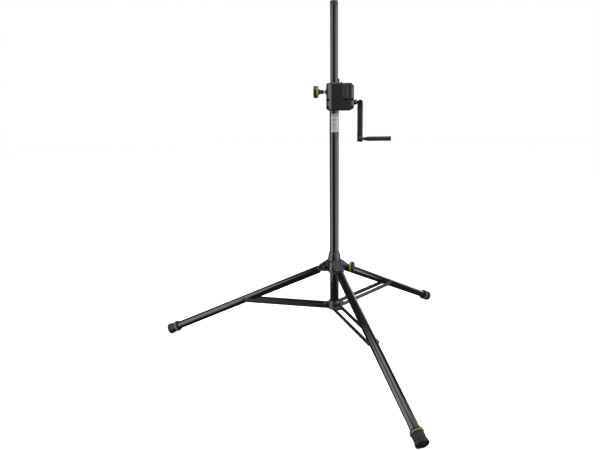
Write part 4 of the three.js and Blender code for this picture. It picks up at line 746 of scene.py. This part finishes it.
def build_housing():
    top = CASE_HIGH.z
    low = CASE_LOW.z
    front = -CASE_DEPTH
    cavity = case_body(4.0, low + 7, top - 24)
    bore = rod(SLIDE_BORE, low - 5, top + 5, 0, 96)
    cone = turned(rounded([(0, -3), (12.5, -3), (12.5, 0, 1), (9, 4, 0.8), (0, 4)], 0.3), 48)
    lip = turned(rounded([(SLIDE_BORE - 2, -1), (SLIDE_BORE + 4, -1), (SLIDE_BORE + 4, 0),
                          (SLIDE_BORE + 3.2, 1.4, 0.6),
                          (SLIDE_BORE - 2, 1.4)], 0.1, closed=True), 96, closed=True)
    joins = [moved(cone, at(CASE_LEFT, 0, BRAKE_HEIGHT) @ Matrix.Rotation(math.radians(-90), 4, "Y")),
             moved(lip, at(z=top))]
    cuts = [cavity, bore,
            moved(rod(4.0, CASE_LEFT - 6, -10, 0), at(z=BRAKE_HEIGHT) @ LIE_ALONG_X),
            moved(rod(9.6, CASE_HIGH.x - 14, CASE_HIGH.x + 2, 0), at(z=SHAFT_HEIGHT) @ LIE_ALONG_X),
            plate(obround(PANEL_X, PANEL_LOW - 0.3, top - 3.7, PANEL_WIDTH + 0.6), front - 3, front + 2.6)]
    cuts.append(plate(obround(PANEL_X, PANEL_LOW - 5.5, PANEL_LOW + 30, PANEL_WIDTH - 1), front - 2,
                      front + 2.4))
    for name in CASE_SCREWS:
        place = screw_place(name)
        seat = span(name)[0].y
        boss = rod(7.2, min(seat - 1.2, -8), 0, 1.0)
        joins.append(moved(boss, at(place.x, 0, place.z) @ LIE_ALONG_Y))
        cuts.append(moved(rod(4.9, front - 5, seat + 3.4, 0.0), at(place.x, 0, place.z) @ LIE_ALONG_Y))
        cuts.append(moved(rod(2.2, front - 5, 21, 0.0), at(place.x, 0, place.z) @ LIE_ALONG_Y))
    # The stop post comes up through a hole in the top.
    post = sum(span("stop_post"), Vector()) / 2
    cuts.append(moved(rod(3.3, top - 30, top + 3, 0), at(post.x, post.y)))
    whole = shaped(case_body(), joins=joins, cuts=cuts)
    wide = 300
    for name, node, cut_from, cut_to in (("housing_cover_shell", "housing_cover", PARTING, wide),
                                         ("housing_back_shell", "housing_back", -wide, PARTING)):
        other_half = block((-wide, cut_from, low - 50), (wide, cut_to, top + 50))
        make(name, shaped(whole.copy(), cuts=[other_half]), MAST, NYLON_CASE, "mast", node, sharp=28)
    whole.free()
    panel = plate(obround(PANEL_X, PANEL_LOW, top - 4, PANEL_WIDTH), front - 1.2, front + 2.3, 2.2)
    slot = plate(obround(PANEL_X, PANEL_LOW + 7, top - 11, 11), front - 3, front + 0.9)
    dimple = moved(rod(5.2, front - 3, front + 1.8), at(PANEL_X, 0, top - 17.5) @ LIE_ALONG_Y)
    # The panel's paler nylon is a painted highlight.
    make("housing_panel", shaped(panel, cuts=[slot, dimple]), MAST, NYLON_PANEL_PAINTED_HIGHLIGHT, "mast")
    # A near-black sheet in the crescent recess below the panel: painted shadow under the raised panel.
    painted_shadow_sheet = plate(obround(PANEL_X, PANEL_LOW - 5.2, PANEL_LOW + 30, PANEL_WIDTH - 1.6), front + 1.2,
                   front + 2.2)
    under_panel = plate(obround(PANEL_X, PANEL_LOW - 0.3, PANEL_LOW + 40, PANEL_WIDTH + 0.6), front - 4,
                        front + 4)
    make("panel_painted_shadow", shaped(painted_shadow_sheet, cuts=[under_panel]), MAST, PAINTED_SHADOW_BLACK, "mast")


def build_housing_fittings():
    for name in CASE_SCREWS:
        place = screw_place(name)
        seat, end = span(name)[0].y, span(name)[1].y
        screw = socket_head(4.5, 3.0, 0.5, end - seat - 3.0, 1.9)
        face_front = at(place.x, seat, place.z) @ STAND_UP
        make(f"{name}_bolt", screw, MAST @ face_front, BLACK_STEEL, "mast", name)
    low, high = span("guide_bush")
    flange = OUTER_TUBE[1].z + 0.3
    sleeve = OUTER_RADIUS - OUTER_WALL - 0.3
    corners = [(INNER_RADIUS + 0.3, low.z), (sleeve, low.z), (sleeve, flange), (OUTER_RADIUS, flange),
               (OUTER_RADIUS, high.z, 1), (INNER_RADIUS + 0.3, high.z, 0.8)]
    make("mast_guide_bush", turned(rounded(corners, 0.2, closed=True), 96, closed=True), MAST, PLASTIC,
         "mast",
         "guide_bush")
    low, high = span("stop_post")
    centre = (low + high) / 2
    post = [(0, low.z), (3, low.z), (3, high.z - 4, 0.4), (2.4, high.z - 3.4, 0.3), (2.4, high.z - 2.6, 0.3),
            (3, high.z - 2, 0.4), (3, high.z, 0.9), (0, high.z)]
    make("mast_stop_post", turned(rounded(post, 0.2), 40), MAST @ at(centre.x, centre.y), BLACK_STEEL, "mast",
         "stop_post")
    # A button-head screw closes the oil hole on top, and a small set screw sits in the cover's right edge.
    button = turned(rounded([(0, -4), (6, -4), (6, 1.5, 1.6), (3.5, 3.4, 1.4), (0, 3.6)], 0.3), 40)
    make("oil_hole_screw", button, MAST @ at(30.6, -25, CASE_HIGH.z), BLACK_STEEL, "mast")
    set_screw = socket_head(3.2, 3.0, 0.6)
    edge = math.radians(50)
    away = RIGHT_ROUND - 0.6
    turn = Matrix.Rotation(edge, 4, "Z") @ STAND_UP
    place = at(CASE_HIGH.x - RIGHT_ROUND + away * math.sin(edge),
               -CASE_DEPTH + RIGHT_ROUND - away * math.cos(edge),
               1229)
    make("cover_set_screw", set_screw, MAST @ place @ turn, BLACK_STEEL, "mast")
    low, high = span("crank_bush")
    bush = [(5.3, low.x), (9, low.x), (9, high.x - 1.7), (12, high.x - 1.7), (12, high.x, 0.5), (5.3, high.x)]
    make("crank_shaft_bush", turned(rounded(bush, 0.2, closed=True), 48, closed=True),
         MAST @ at(z=SHAFT_HEIGHT) @ LIE_ALONG_X, PLASTIC, "mast", "crank_bush")


# ---- Crank ----

ARM = span("crank_arm")
ARM_X = (ARM[0].x + ARM[1].x) / 2
ARM_HALF = (ARM[1].x - ARM[0].x) / 2
ARM_DEPTH = 8.0
HEAD_RADIUS = 12.0
FORK_FLOOR = SHAFT_HEIGHT - 14.4
HANDLE_HEIGHT = middle("handle_grip").z / MM
BAND = span("arm_band")


def arm_section(proud=0.0, round_by=5.0):
    half, deep = ARM_HALF + proud, ARM_DEPTH + proud
    corners = [(half, deep), (-half, deep), (-half, -deep), (half, -deep)]
    return [(ARM_X + x, y) for x, y in rounded(corners, round_by, closed=True, steps=6)]


def build_crank_hub():
    low = span("crank_hub")[0]
    collar = [(0, low.x), (8.5, low.x, 0.6), (10.6, low.x + 1.6, 0.8), (10.6, low.x + 6.5, 0.8),
              (7.6, low.x + 9, 1),
              (7.6, ARM_X - HEAD_RADIUS - 1.6, 1), (0, ARM_X - HEAD_RADIUS - 1.6)]
    barrel = moved(turned(rounded(collar, 0.4), 64), LIE_ALONG_X)
    tongue = [(ARM_X - HEAD_RADIUS - 6, -7.4), (ARM_X, -9)] + arc(ARM_X, 0, 9, -90, 90, 18)
    tongue += [(ARM_X - HEAD_RADIUS - 6, 7.4)]
    pin_hole = moved(rod(3.3, -12, 12, 0), at(ARM_X) @ LIE_ALONG_Y)
    shaft_bore = moved(rod(5.3, low.x - 1, ARM_X - 15, 0), LIE_ALONG_X)
    grub_x = middle("grub_screw").x / MM - PLAN.x / MM
    grub_hole = moved(rod(2.8, 4, 14, 0), at(grub_x))
    hub = shaped(barrel, joins=[plate(tongue, -4, 4, 0.6)], cuts=[pin_hole, shaft_bore, grub_hole])
    make("crank_head_hub", hub, MAST @ at(z=SHAFT_HEIGHT), CASTING, "crank", "crank_hub")
    top = span("grub_screw")[1].z
    foot = span("grub_screw")[0].z
    grub = socket_head(3.5, 3.6, 0.55, top - foot - 3.6, 2.5)
    make("crank_grub_screw", grub, MAST @ at(grub_x, 0, top), BLACK_STEEL, "crank", "grub_screw")
    near, far = span("fold_pin")
    pin = socket_head(5, 2.0, 0.5, far.y - near.y - 2.0, 3.0)
    make("crank_fold_pin", pin, MAST @ at(ARM_X, near.y, SHAFT_HEIGHT) @ STAND_UP, BLACK_STEEL, "crank",
         "fold_pin")


def build_crank_arm():
    head = arc(ARM_X, SHAFT_HEIGHT, HEAD_RADIUS, 0, 180, 28)
    joint = FORK_FLOOR + 0.6
    head = [(ARM_X + HEAD_RADIUS, joint - 4)] + head + [(ARM_X - HEAD_RADIUS, joint - 4)]
    slot = block((ARM_X - 30, -4.4, FORK_FLOOR), (ARM_X + 30, 4.4, SHAFT_HEIGHT + 20))
    hole = moved(rod(3.3, -12, 12, 0), at(ARM_X, 0, SHAFT_HEIGHT) @ LIE_ALONG_Y)
    spot = moved(rod(6.4, -ARM_DEPTH - 1, -ARM_DEPTH + 0.5, 0.2), at(ARM_X, 0, SHAFT_HEIGHT) @ LIE_ALONG_Y)
    spot_back = moved(rod(6.4, ARM_DEPTH - 0.5, ARM_DEPTH + 1, 0.2), at(ARM_X, 0, SHAFT_HEIGHT) @ LIE_ALONG_Y)
    fork = shaped(plate(head, -ARM_DEPTH, ARM_DEPTH, 1.6, 4), cuts=[slot, hole, spot, spot_back])
    make("crank_arm_fork", fork, MAST, CASTING, "arm", "crank_arm")
    collar = prism(arm_section(0.4, 5.2), joint - 7, joint - 4.3, 0.8)
    make("crank_arm_ferrule", collar, MAST, BLACK_STEEL, "arm", "crank_arm")
    bar = prism(arm_section(), ARM[0].z, joint - 7.3, 0.8)
    make("crank_arm_bar", bar, MAST, CASTING, "arm", "crank_arm")
    band = prism(arm_section(0.7, 5.5), BAND[0].z, BAND[1].z, 1.2)
    make("crank_arm_band", band, MAST, PLASTIC, "arm", "arm_band")


def build_handle():
    low, high = span("handle_elbow")
    stub_end = high.x
    body = prism(arm_section(), low.z, high.z, 3.0, 5)
    stub = [(0, ARM_X - 4), (11, ARM_X - 4), (11, stub_end - 3, 1.2), (9, stub_end, 0.8), (0, stub_end)]
    elbow = shaped(body, joins=[moved(turned(rounded(stub, 0.5), 64), at(z=HANDLE_HEIGHT) @ LIE_ALONG_X)],
                   cuts=[moved(rod(5.3, ARM_X - 9, stub_end + 2, 0), at(z=HANDLE_HEIGHT) @ LIE_ALONG_X)])
    make("crank_handle_elbow", elbow, MAST, CASTING, "arm", "handle_elbow")
    near, far = span("handle_spindle")
    lying = MAST @ at(z=HANDLE_HEIGHT) @ LIE_ALONG_X
    make("crank_handle_spindle", rod(5, near.x, far.x, 0.6, 56), lying, ZINC, "arm", "handle_spindle")
    near, far = span("handle_grip")
    start, end = near.x, far.x
    grip = [(5.3, start), (7.2, start, 1.2), (7, start + 8), (9.2, start + 19, 8), (10, start + 25, 6)]
    ribs = 9
    pitch = (end - start - 34) / ribs
    for k in range(ribs):
        left = start + 28 + k * pitch
        grip += [(10, left, 0.5), (9.5, left + 0.6, 0.4), (9.5, left + 1.4, 0.4), (10, left + 2.0, 0.5)]
    grip += [(10, end, 0.8), (5.3, end)]
    make("crank_handle_grip", turned(rounded(grip, 0.4, closed=True, steps=3), 72, closed=True), lying,
         PLASTIC,
         "grip", "handle_grip")
    near, far = span("grip_end_cap")
    cap = [(0, near.x), (11, near.x, 0.8), (11, far.x - 2, 1.2), (9, far.x, 1), (4, far.x, 0.5),
           (3.4, far.x - 0.8, 0.3),
           (0, far.x - 0.8)]
    make("crank_grip_end", turned(rounded(cap, 0.4), 72), lying, PLASTIC, "grip", "grip_end_cap")


# ---- Clamp knobs ----

PAD_LENGTH = 4.4
CLAMP_AZIMUTH = 350.45
CLAMP_FACE = 96.0
BRAKE_FACE = -span("brake_knob")[0].x
SCREW_TIP = {"brake": INNER_RADIUS + 0.3 + PAD_LENGTH + 0.3, "clamp": SLIDE_BORE + PAD_LENGTH + 0.3}


def build_knob(prefix, dial, slider, place, face):
    """A clamp knob in a frame whose Z runs from the knob's outer face towards the mast."""
    cap = 13.2
    ring_start, ring_end = cap + 0.3, cap + 8.8
    neck_end = 12.5 + 10.5 + 21.5 + 0.6
    body = [(0, 0.9), (17, 0.9, 2), (19, 0, 1.2), (22.5, 0, 2), (26.5, 3.4, 3), (26.5, cap, 1.0),
            (18, cap, 0.2),
            (18, ring_end + 0.3, 0.6), (13.5, ring_end + 1.2, 2), (8.75, ring_end + 9, 4),
            (8.75, neck_end - 3, 0.5),
            (10, neck_end - 2, 0.4), (10, neck_end, 0.8), (4.1, neck_end, 0.3), (4.1, ring_end),
            (0, ring_end)]
    make(f"{prefix}_knob_body", turned(rounded(body, 0.4), 96), place, PLASTIC, dial, f"{prefix}_knob")
    ring = [(18.3, ring_start), (26.0, ring_start, 0.6)]
    grooves = 3
    for k in range(grooves):
        z = ring_start + 2.0 + k * 2.0
        ring += [(26.5, z - 1.0, 0.4), (26.5, z + 0.2, 0.3), (26.1, z + 0.6, 0.3), (26.1, z + 1.0, 0.3)]
    ring += [(26.5, ring_end - 1.6, 0.4), (25.8, ring_end, 0.6), (18.3, ring_end)]
    make(f"{prefix}_knob_band", turned(rounded(ring, 0.3, closed=True, steps=3), 96, closed=True), place,
         GREEN, dial,
         f"{prefix}_knob_ring")
    screw_end = face - SCREW_TIP[prefix]
    pitch = 1.5
    thread = [(0, ring_end + 0.3), (3.7, ring_end + 0.3)]
    z = neck_end - 4
    while z + pitch < screw_end - 1:
        thread += [(3.7, z, 0.05), (3.15, z + pitch / 2, 0.1)]
        z += pitch
    thread += [(3.7, z, 0.05), (3.7, screw_end - 0.8, 0.3), (3.0, screw_end, 0.2), (0, screw_end)]
    make(f"{prefix}_knob_screw", turned(rounded(thread, 0.05, steps=1), 40), place, BLACK_STEEL, dial,
         f"{prefix}_screw")


def build_knobs():
    brake = MAST @ at(-BRAKE_FACE, 0, BRAKE_HEIGHT) @ LIE_ALONG_X
    build_knob("brake", "brake_dial", "brake_slider", brake, BRAKE_FACE)
    clamp = MAST @ about_z(CLAMP_AZIMUTH - 180) @ at(-CLAMP_FACE, 0,
                                                     middle("clamp_knob").z / MM) @ LIE_ALONG_X
    build_knob("clamp", "clamp_dial", "clamp_slider", clamp, CLAMP_FACE)


# ---- Tripod hub ----

HOOD_RADIUS = 36.0
HOOD_HALF = 20.5
HOOD_WALL = 4.0
HOOD_DROP = 19.4  # hood's lower edge below the pivot
ROOF_RISE = 35.0  # roof's height above the pivot where it leaves the bell
ROOF_SLOPE = math.radians(34.5)
BELL_RADIUS = 30.5
CHEEK = 5.2
LIP_HEIGHT = 4.5


def hood_outline(radius, drop, pivot_r):
    start = -math.degrees(math.asin(drop / radius))
    return arc(pivot_r, PIVOT_HEIGHT, radius, start, 180 - start, 40)


def above_roof(drop):
    """Everything over the hoods' sloping roof, or over a plane that much lower."""
    start = PIVOT_HEIGHT + ROOF_RISE - drop + BELL_RADIUS * math.tan(ROOF_SLOPE)
    reach = 150
    return plate([(0, start), (reach, start - reach * math.tan(ROOF_SLOPE)), (reach, start + 30),
                  (0, start + 30)],
                 -60, 60)


def hood_and_lip(leg):
    """A leg's hood with its sloping roof, and the lip along its lower edge."""
    arch = plate(hood_outline(HOOD_RADIUS, HOOD_DROP, leg.pivot_r), -HOOD_HALF, HOOD_HALF, 1.0)
    hood = shaped(arch, cuts=[above_roof(0)])
    inner = leg.pivot_r - 20
    rim = leg.pivot_r + HOOD_RADIUS
    low = PIVOT_HEIGHT - HOOD_DROP
    lip = plate([(inner, low), (rim - 4.2, low), (rim - 3.0, low + LIP_HEIGHT), (inner, low + LIP_HEIGHT)],
                -HOOD_HALF - 1.2, HOOD_HALF + 1.2, 0.8)
    return [hood, lip]


def pocket_and_recesses(leg, bottom, top, sleeve):
    """The hollow that a leg's tongue swings in, and the shallow recess on each cheek of its hood."""
    slot_half = HOOD_HALF - CHEEK
    roof = moved(rod(HOOD_RADIUS - HOOD_WALL, -slot_half, slot_half, 0, 72),
                 at(leg.pivot_r, 0, PIVOT_HEIGHT) @ LIE_ALONG_Y)
    mouth = block((leg.pivot_r - HOOD_RADIUS + HOOD_WALL, -slot_half, bottom - 5),
                  (leg.pivot_r + 2 * HOOD_RADIUS, slot_half, PIVOT_HEIGHT))
    inside = [block((-200, -60, bottom - 20), (sleeve - 1, 60, top + 20)),
              above_roof(HOOD_WALL / math.cos(ROOF_SLOPE))]
    solids = [shaped(shaped(roof, joins=[mouth]), cuts=inside)]
    for y in (-1, 1):
        ring = plate(hood_outline(HOOD_RADIUS - 4.5, HOOD_DROP - 6, leg.pivot_r), min(y * 19.0, y * 24),
                     max(y * 19.0, y * 24))
        boss = moved(rod(10.5, -30, 30, 0), at(leg.pivot_r, 0, PIVOT_HEIGHT) @ LIE_ALONG_Y)
        trim = block((-10, -30, bottom - 20), (sleeve + 4, 30, top + 20))
        solids.append(shaped(ring, cuts=[boss, trim, above_roof(4.5 / math.cos(ROOF_SLOPE))]))
    return solids


def build_hub():
    bottom, top = HUB[0].z, HUB[1].z
    sleeve = SLIDE_BORE + 6.5
    widest = PIVOT_HEIGHT + 45.6
    bell = [(0, bottom), (sleeve, bottom, 2), (sleeve, widest - 20, 6), (BELL_RADIUS, widest - 9, 4),
            (BELL_RADIUS, widest, 8), (28.6, widest + 14, 10), (25.2, top - 4, 3), (23.4, top, 1), (0, top)]
    joins, cuts = [], []
    for side in SIDES:
        turn = about_z(math.degrees(LEGS[side].azimuth))
        joins += [moved(solid, turn) for solid in hood_and_lip(LEGS[side])]
        cuts += [moved(solid, turn) for solid in pocket_and_recesses(LEGS[side], bottom, top, sleeve)]
    clamp_axis = about_z(CLAMP_AZIMUTH - 180) @ at(z=middle("clamp_knob").z / MM) @ LIE_ALONG_X
    boss = turned(rounded([(0, -43), (9, -43, 1), (13, -41, 1.5), (13, -10), (0, -10)], 0.5), 56)
    joins.append(moved(boss, clamp_axis))
    casting = shaped(turned(rounded(bell, 1.0), 96), joins=joins, cuts=cuts, skin=0.9, smoothing=4)
    holes = [rod(SLIDE_BORE, bottom - 5, top + 5, 0, 96)]
    for side in SIDES:
        leg = LEGS[side]
        pivot = about_z(math.degrees(leg.azimuth)) @ at(leg.pivot_r, 0, PIVOT_HEIGHT) @ LIE_ALONG_Y
        holes.append(moved(rod(4.3, -40, 40, 0), pivot))
    pad_end = SLIDE_BORE + PAD_LENGTH + 3.4
    for radius, start in ((5.3, pad_end), (4.0, 46)):
        holes.append(moved(rod(radius, -start, -1, 0), clamp_axis))
    make("tripod_hub_casting", shaped(casting, cuts=holes), MAST, CASTING, "hub", "tripod_hub", sharp=40)


def build_pivot_bolts():
    for side in SIDES:
        leg = LEGS[side]
        head = HOOD_HALF + 0.3
        bolt = socket_head(7, 4, 0.5, 2 * head + 2, 4)
        facing = at(leg.pivot_r, -head - 4, PIVOT_HEIGHT) @ STAND_UP
        make(f"{side}_pivot_screw", bolt, leg.upright @ facing, BLACK_STEEL, "hub", f"{side}_pivot_bolt")


# ---- Spider ----


def build_spider():
    bottom, top = span("spider")[0].z, span("spider")[1].z
    pivot = bottom + 16
    edge = SLIDE_BORE + 8
    barrel = [(0, bottom), (edge, bottom, 3), (edge, top - 14, 3), (edge - 2.5, top - 11, 2),
              (edge - 4, top, 2),
              (0, top)]
    lug_half = LEG_RADIUS + 0.5 - 0.3
    joins = []
    pins = []
    for side in SIDES:
        turn = about_z(math.degrees(LEGS[side].azimuth))
        outline = [(SLIDE_BORE + 1, pivot - 11), (SPIDER_R, pivot - 11)] + arc(SPIDER_R, pivot, 11, -90, 90,
                                                                               16)
        outline += [(SLIDE_BORE + 1, pivot + 19)]
        joins.append(moved(plate(outline, -lug_half, lug_half, 1.2), turn))
        reach = LEG_RADIUS + 0.5 + 3 + 1
        pins.append(moved(rod(4, -reach, reach, 0.6, 40), turn @ at(SPIDER_R, 0, pivot) @ LIE_ALONG_Y))
    hollows = []
    for side in SIDES:
        turn = about_z(math.degrees(LEGS[side].azimuth))
        for y in (-1, 1):
            hollows.append(moved(block((30.5, min(y * 3, y * 14), pivot - 8),
                                       (41, max(y * 3, y * 14), pivot + 22)), turn))
    casting = shaped(turned(rounded(barrel, 0.6), 96), joins=joins, cuts=hollows, skin=0.9, smoothing=3)
    whole = shaped(casting, joins=pins, cuts=[rod(SLIDE_BORE, bottom - 5, top + 5, 0, 96)])
    make("brace_spider_casting", whole, MAST, CASTING, "mast", "spider", sharp=40)
    for side in SIDES:
        leg = LEGS[side]
        set_screw = socket_head(3, 3, 0.55)
        face = leg.upright @ about_z(60) @ at(edge - 0.4, 0, top - 20) @ LIE_ALONG_X
        make(f"{side}_spider_set_screw", set_screw, face, BLACK_STEEL, "mast")


# ---- Legs and feet ----


def build_leg(side):
    leg = LEGS[side]
    body = f"{side}_leg"
    lying = leg.frame @ LIE_ALONG_X
    bore = LEG_RADIUS - 2
    make(f"{side}_leg_pipe", tube(bore, LEG_RADIUS, leg.start, leg.end, 0.6), lying, TUBE, body,
         f"{side}_leg_tube")
    flange = leg.start - 0.3
    half = HOOD_HALF - CHEEK - 0.4
    tongue = [(flange - 1, -11.5)] + arc(0, 0, 11.5, 270, 90, 24) + [(flange - 1, 11.5)]
    plug = [(0, flange - 3.2), (LEG_RADIUS, flange - 3.2, 0.8), (LEG_RADIUS, flange, 0.3),
            (bore - 0.3, flange),
            (bore - 0.3, flange + 32, 1.5), (0, flange + 32)]
    hole = moved(rod(4.3, -30, 30, 0), LIE_ALONG_Y)
    fitting = shaped(plate(tongue, -half, half, 1.0),
                     joins=[moved(turned(rounded(plug, 0.3), 80), LIE_ALONG_X)],
                     cuts=[hole])
    make(f"{side}_leg_knuckle", fitting, leg.frame, CASTING, body, f"{side}_leg_fitting")
    build_foot(side, leg, lying, body)


def build_foot(side, leg, lying, body):
    mid = leg.ring
    start, end = mid - 11, mid + 48
    floor = end - 9
    bowl = LEG_RADIUS + 0.3
    groove = 23.1
    foot = [(bowl, start, 0.3), (24.2, start, 1.5), (25, start + 3, 1), (25, mid - 2.3, 0.4),
            (groove, mid - 2.3, 0.1),
            (groove, mid + 2.3, 0.1), (25, mid + 2.3, 0.4), (25, mid + 5, 0.5), (24.5, mid + 6, 0.5),
            (24.5, end - 16, 3),
            (27, end - 10, 3), (27, end, 2.4), (21.5, end, 1.0), (20.5, end - 1.6, 0.8), (9, end - 1.6, 1),
            (8, end - 0.6, 0.6), (0, end - 0.6), (0, floor), (bowl, floor, 1)]
    rubber = moved(turned(rounded(foot[:-3] + [(0, end - 0.6)], 0.4) + [(0, floor), (bowl, floor)], 96,
                          closed=True),
                   lying)
    cut = bmesh.ops.bisect_plane(rubber, geom=rubber.verts[:] + rubber.edges[:] + rubber.faces[:], dist=1e-6,
                                 plane_co=(0, 0, 0), plane_no=(0, 0, -1), clear_outer=True)
    rim = [edge for edge in cut["geom_cut"] if isinstance(edge, bmesh.types.BMEdge)]
    bmesh.ops.edgeloop_fill(rubber, edges=rim)
    make(f"{side}_foot_boot", rubber, Matrix.Identity(4), RUBBER, body, f"{side}_foot")
    band = [(groove + 0.3, mid - 2), (27.4, mid - 2, 0.7), (27.4, mid + 2, 0.7), (groove + 0.3, mid + 2)]
    make(f"{side}_foot_band", turned(rounded(band, 0.1, closed=True), 96, closed=True), lying, GREEN, body,
         f"{side}_foot_ring")


# ---- Braces ----

BAR_HALF_HEIGHT = 10.0
BAR_THICKNESS = 3.0


def build_brace(side):
    leg = LEGS[side]
    bars = {letter: middle(f"{side}_brace_bar_{letter}") for letter in "ab"}
    centre = (bars["a"] + bars["b"]) / 2
    centre_r = (centre - PLAN).to_2d().length / MM
    far_r = 2 * centre_r - SPIDER_R
    far_z = PIVOT_HEIGHT - (far_r - leg.pivot_r) * math.tan(leg.slope)
    near_z = 2 * centre.z / MM - far_z
    outward = Vector((math.cos(leg.azimuth), math.sin(leg.azimuth), 0))
    near = PLAN + outward * SPIDER_R * MM + Vector((0, 0, near_z * MM))
    far = PLAN + outward * far_r * MM + Vector((0, 0, far_z * MM))
    across = Vector((-math.sin(leg.azimuth), math.cos(leg.azimuth), 0))
    length = (far - near).length / MM
    offset = abs((bars["b"] - bars["a"]).dot(across)) / 2 / MM
    brace = axes((far - near).normalized(), across, near)
    half = BAR_HALF_HEIGHT
    outline = arc(0, 0, half, 90, 270, 20) + arc(length, 0, half, -90, 90, 20)
    inner = [(20, -4.6), (length - 20, -4.6), (length - 20, 4.6), (20, 4.6)]
    bead = rounded(inner, 4.5, closed=True, steps=8)
    for letter, y in (("a", -1), ("b", 1)):
        face = y * (offset + BAR_THICKNESS / 2)
        flat = plate(outline, min(face, face - y * BAR_THICKNESS), max(face, face - y * BAR_THICKNESS), 0.7)
        groove = plate(bead, min(face - y * 0.9, face + y * 2), max(face - y * 0.9, face + y * 2), 0.0)
        hole = moved(rod(4.3, -60, 60, 0), LIE_ALONG_Y)
        strip = shaped(flat, cuts=[groove, hole])
        make(f"{side}_brace_strip_{letter}", strip, brace, STRIP, f"{side}_brace",
             f"{side}_brace_bar_{letter}")
        rivet = turned(rounded([(0, 0), (7, 0, 0.3), (7, 1.2, 0.8), (4.5, 3.4, 2), (0, 4)], 0.3), 40)
        out = at(length, face, 0) @ (STAND_UP if y < 0 else LIE_ALONG_Y)
        make(f"{side}_brace_rivet_{letter}", rivet, brace @ out, BLACK_STEEL, f"{side}_brace")


# ---- Label ----

LABEL_LOW = 1048.0
LABEL_HIGH = 1129.0
LABEL_LEFT = -130.0  # azimuths in degrees, where -90 faces the front
LABEL_RIGHT = -12.0
LABEL_CELL = 1.0


def label_ink(u, v):
    """Which ink covers a point of the label, u across and v down in shares of its size: blocks and dots."""
    if 0.05 < u < 0.3 and 0.02 < v < 0.14:
        return 1
    if 0.42 < u < 0.78 and 0.04 < v < 0.13 and abs((v - 0.04) / 0.09 - (0.78 - u) / 0.36) < 0.42:
        return 2
    if 0.17 < v < 0.22 and (0.14 < u < 0.3 or 0.46 < u < 0.66):
        return 3
    for centre in (0.2, 0.5):
        if math.hypot((u - centre) * 0.56, v - 0.33) < 0.055:
            return 4
    if 0.5 < v < 0.9 and 0.1 < u < 0.62 and (v * 20) % 1 < 0.3:
        return 4
    return 0


def build_label():
    radius = OUTER_RADIUS + 0.05
    thickness = 0.12
    arc_length = math.radians(LABEL_RIGHT - LABEL_LEFT) * radius
    across = round(arc_length / LABEL_CELL)
    down = round((LABEL_HIGH - LABEL_LOW) / LABEL_CELL)
    bm = bmesh.new()
    shells = []
    for shell in (radius, radius + thickness):
        rows = []
        for row in range(down + 1):
            height = LABEL_HIGH - (LABEL_HIGH - LABEL_LOW) * row / down
            turns = [math.radians(LABEL_LEFT + (LABEL_RIGHT - LABEL_LEFT) * k / across)
                     for k in range(across + 1)]
            rows.append([bm.verts.new((shell * math.cos(t), shell * math.sin(t), height)) for t in turns])
        shells.append(rows)
    inner, outer = shells
    for row in range(down):
        for k in range(across):
            face = bm.faces.new((outer[row][k], outer[row][k + 1], outer[row + 1][k + 1], outer[row + 1][k]))
            face.material_index = label_ink((k + 0.5) / across, (row + 0.5) / down)
            bm.faces.new((inner[row][k], inner[row + 1][k], inner[row + 1][k + 1], inner[row][k + 1]))
    edge_in = [r[0] for r in inner] + inner[-1][1:] + [r[-1] for r in inner[-2::-1]] + inner[0][-2:0:-1]
    edge_out = [r[0] for r in outer] + outer[-1][1:] + [r[-1] for r in outer[-2::-1]] + outer[0][-2:0:-1]
    for k in range(len(edge_in)):
        after = (k + 1) % len(edge_in)
        bm.faces.new((edge_in[k], edge_in[after], edge_out[after], edge_out[k]))
    label = make("mast_label", bm, MAST, printed_film("printed_film_silver", "#8d8f91"), "mast")
    inks = (("blue", "#4a6076"), ("black", "#1b1c1e"), ("green", "#8fb35a"), ("grey", "#5b5d60"))
    for name, ink in inks:
        label.data.materials.append(printed_film(f"printed_film_{name}", ink))


# ---- CAD pieces that keep their shape ----


def dress_cad_pieces():
    for node, material in (("rack", ZINC), ("pinion_shaft", ZINC), ("face_gear", ZINC), ("crank_shaft", ZINC),
                           ("shaft_bush_back", BRONZE), ("shaft_bush_front", BRONZE), ("inner_guide", ACETAL),
                           ("brake_pad", ACETAL), ("clamp_pad", ACETAL)):
        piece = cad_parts[node]
        piece.data.materials.clear()
        piece.data.materials.append(material)


build_camera()
build_world()
build_lights()
build_floor()
build_outer_tube()
build_end_plug()
build_inner_tube()
build_top_cap()
build_housing()
build_housing_fittings()
build_crank_hub()
build_crank_arm()
build_handle()
build_knobs()
build_hub()
build_pivot_bolts()
build_spider()
for one_side in SIDES:
    build_leg(one_side)
    build_brace(one_side)
build_label()
dress_cad_pieces()
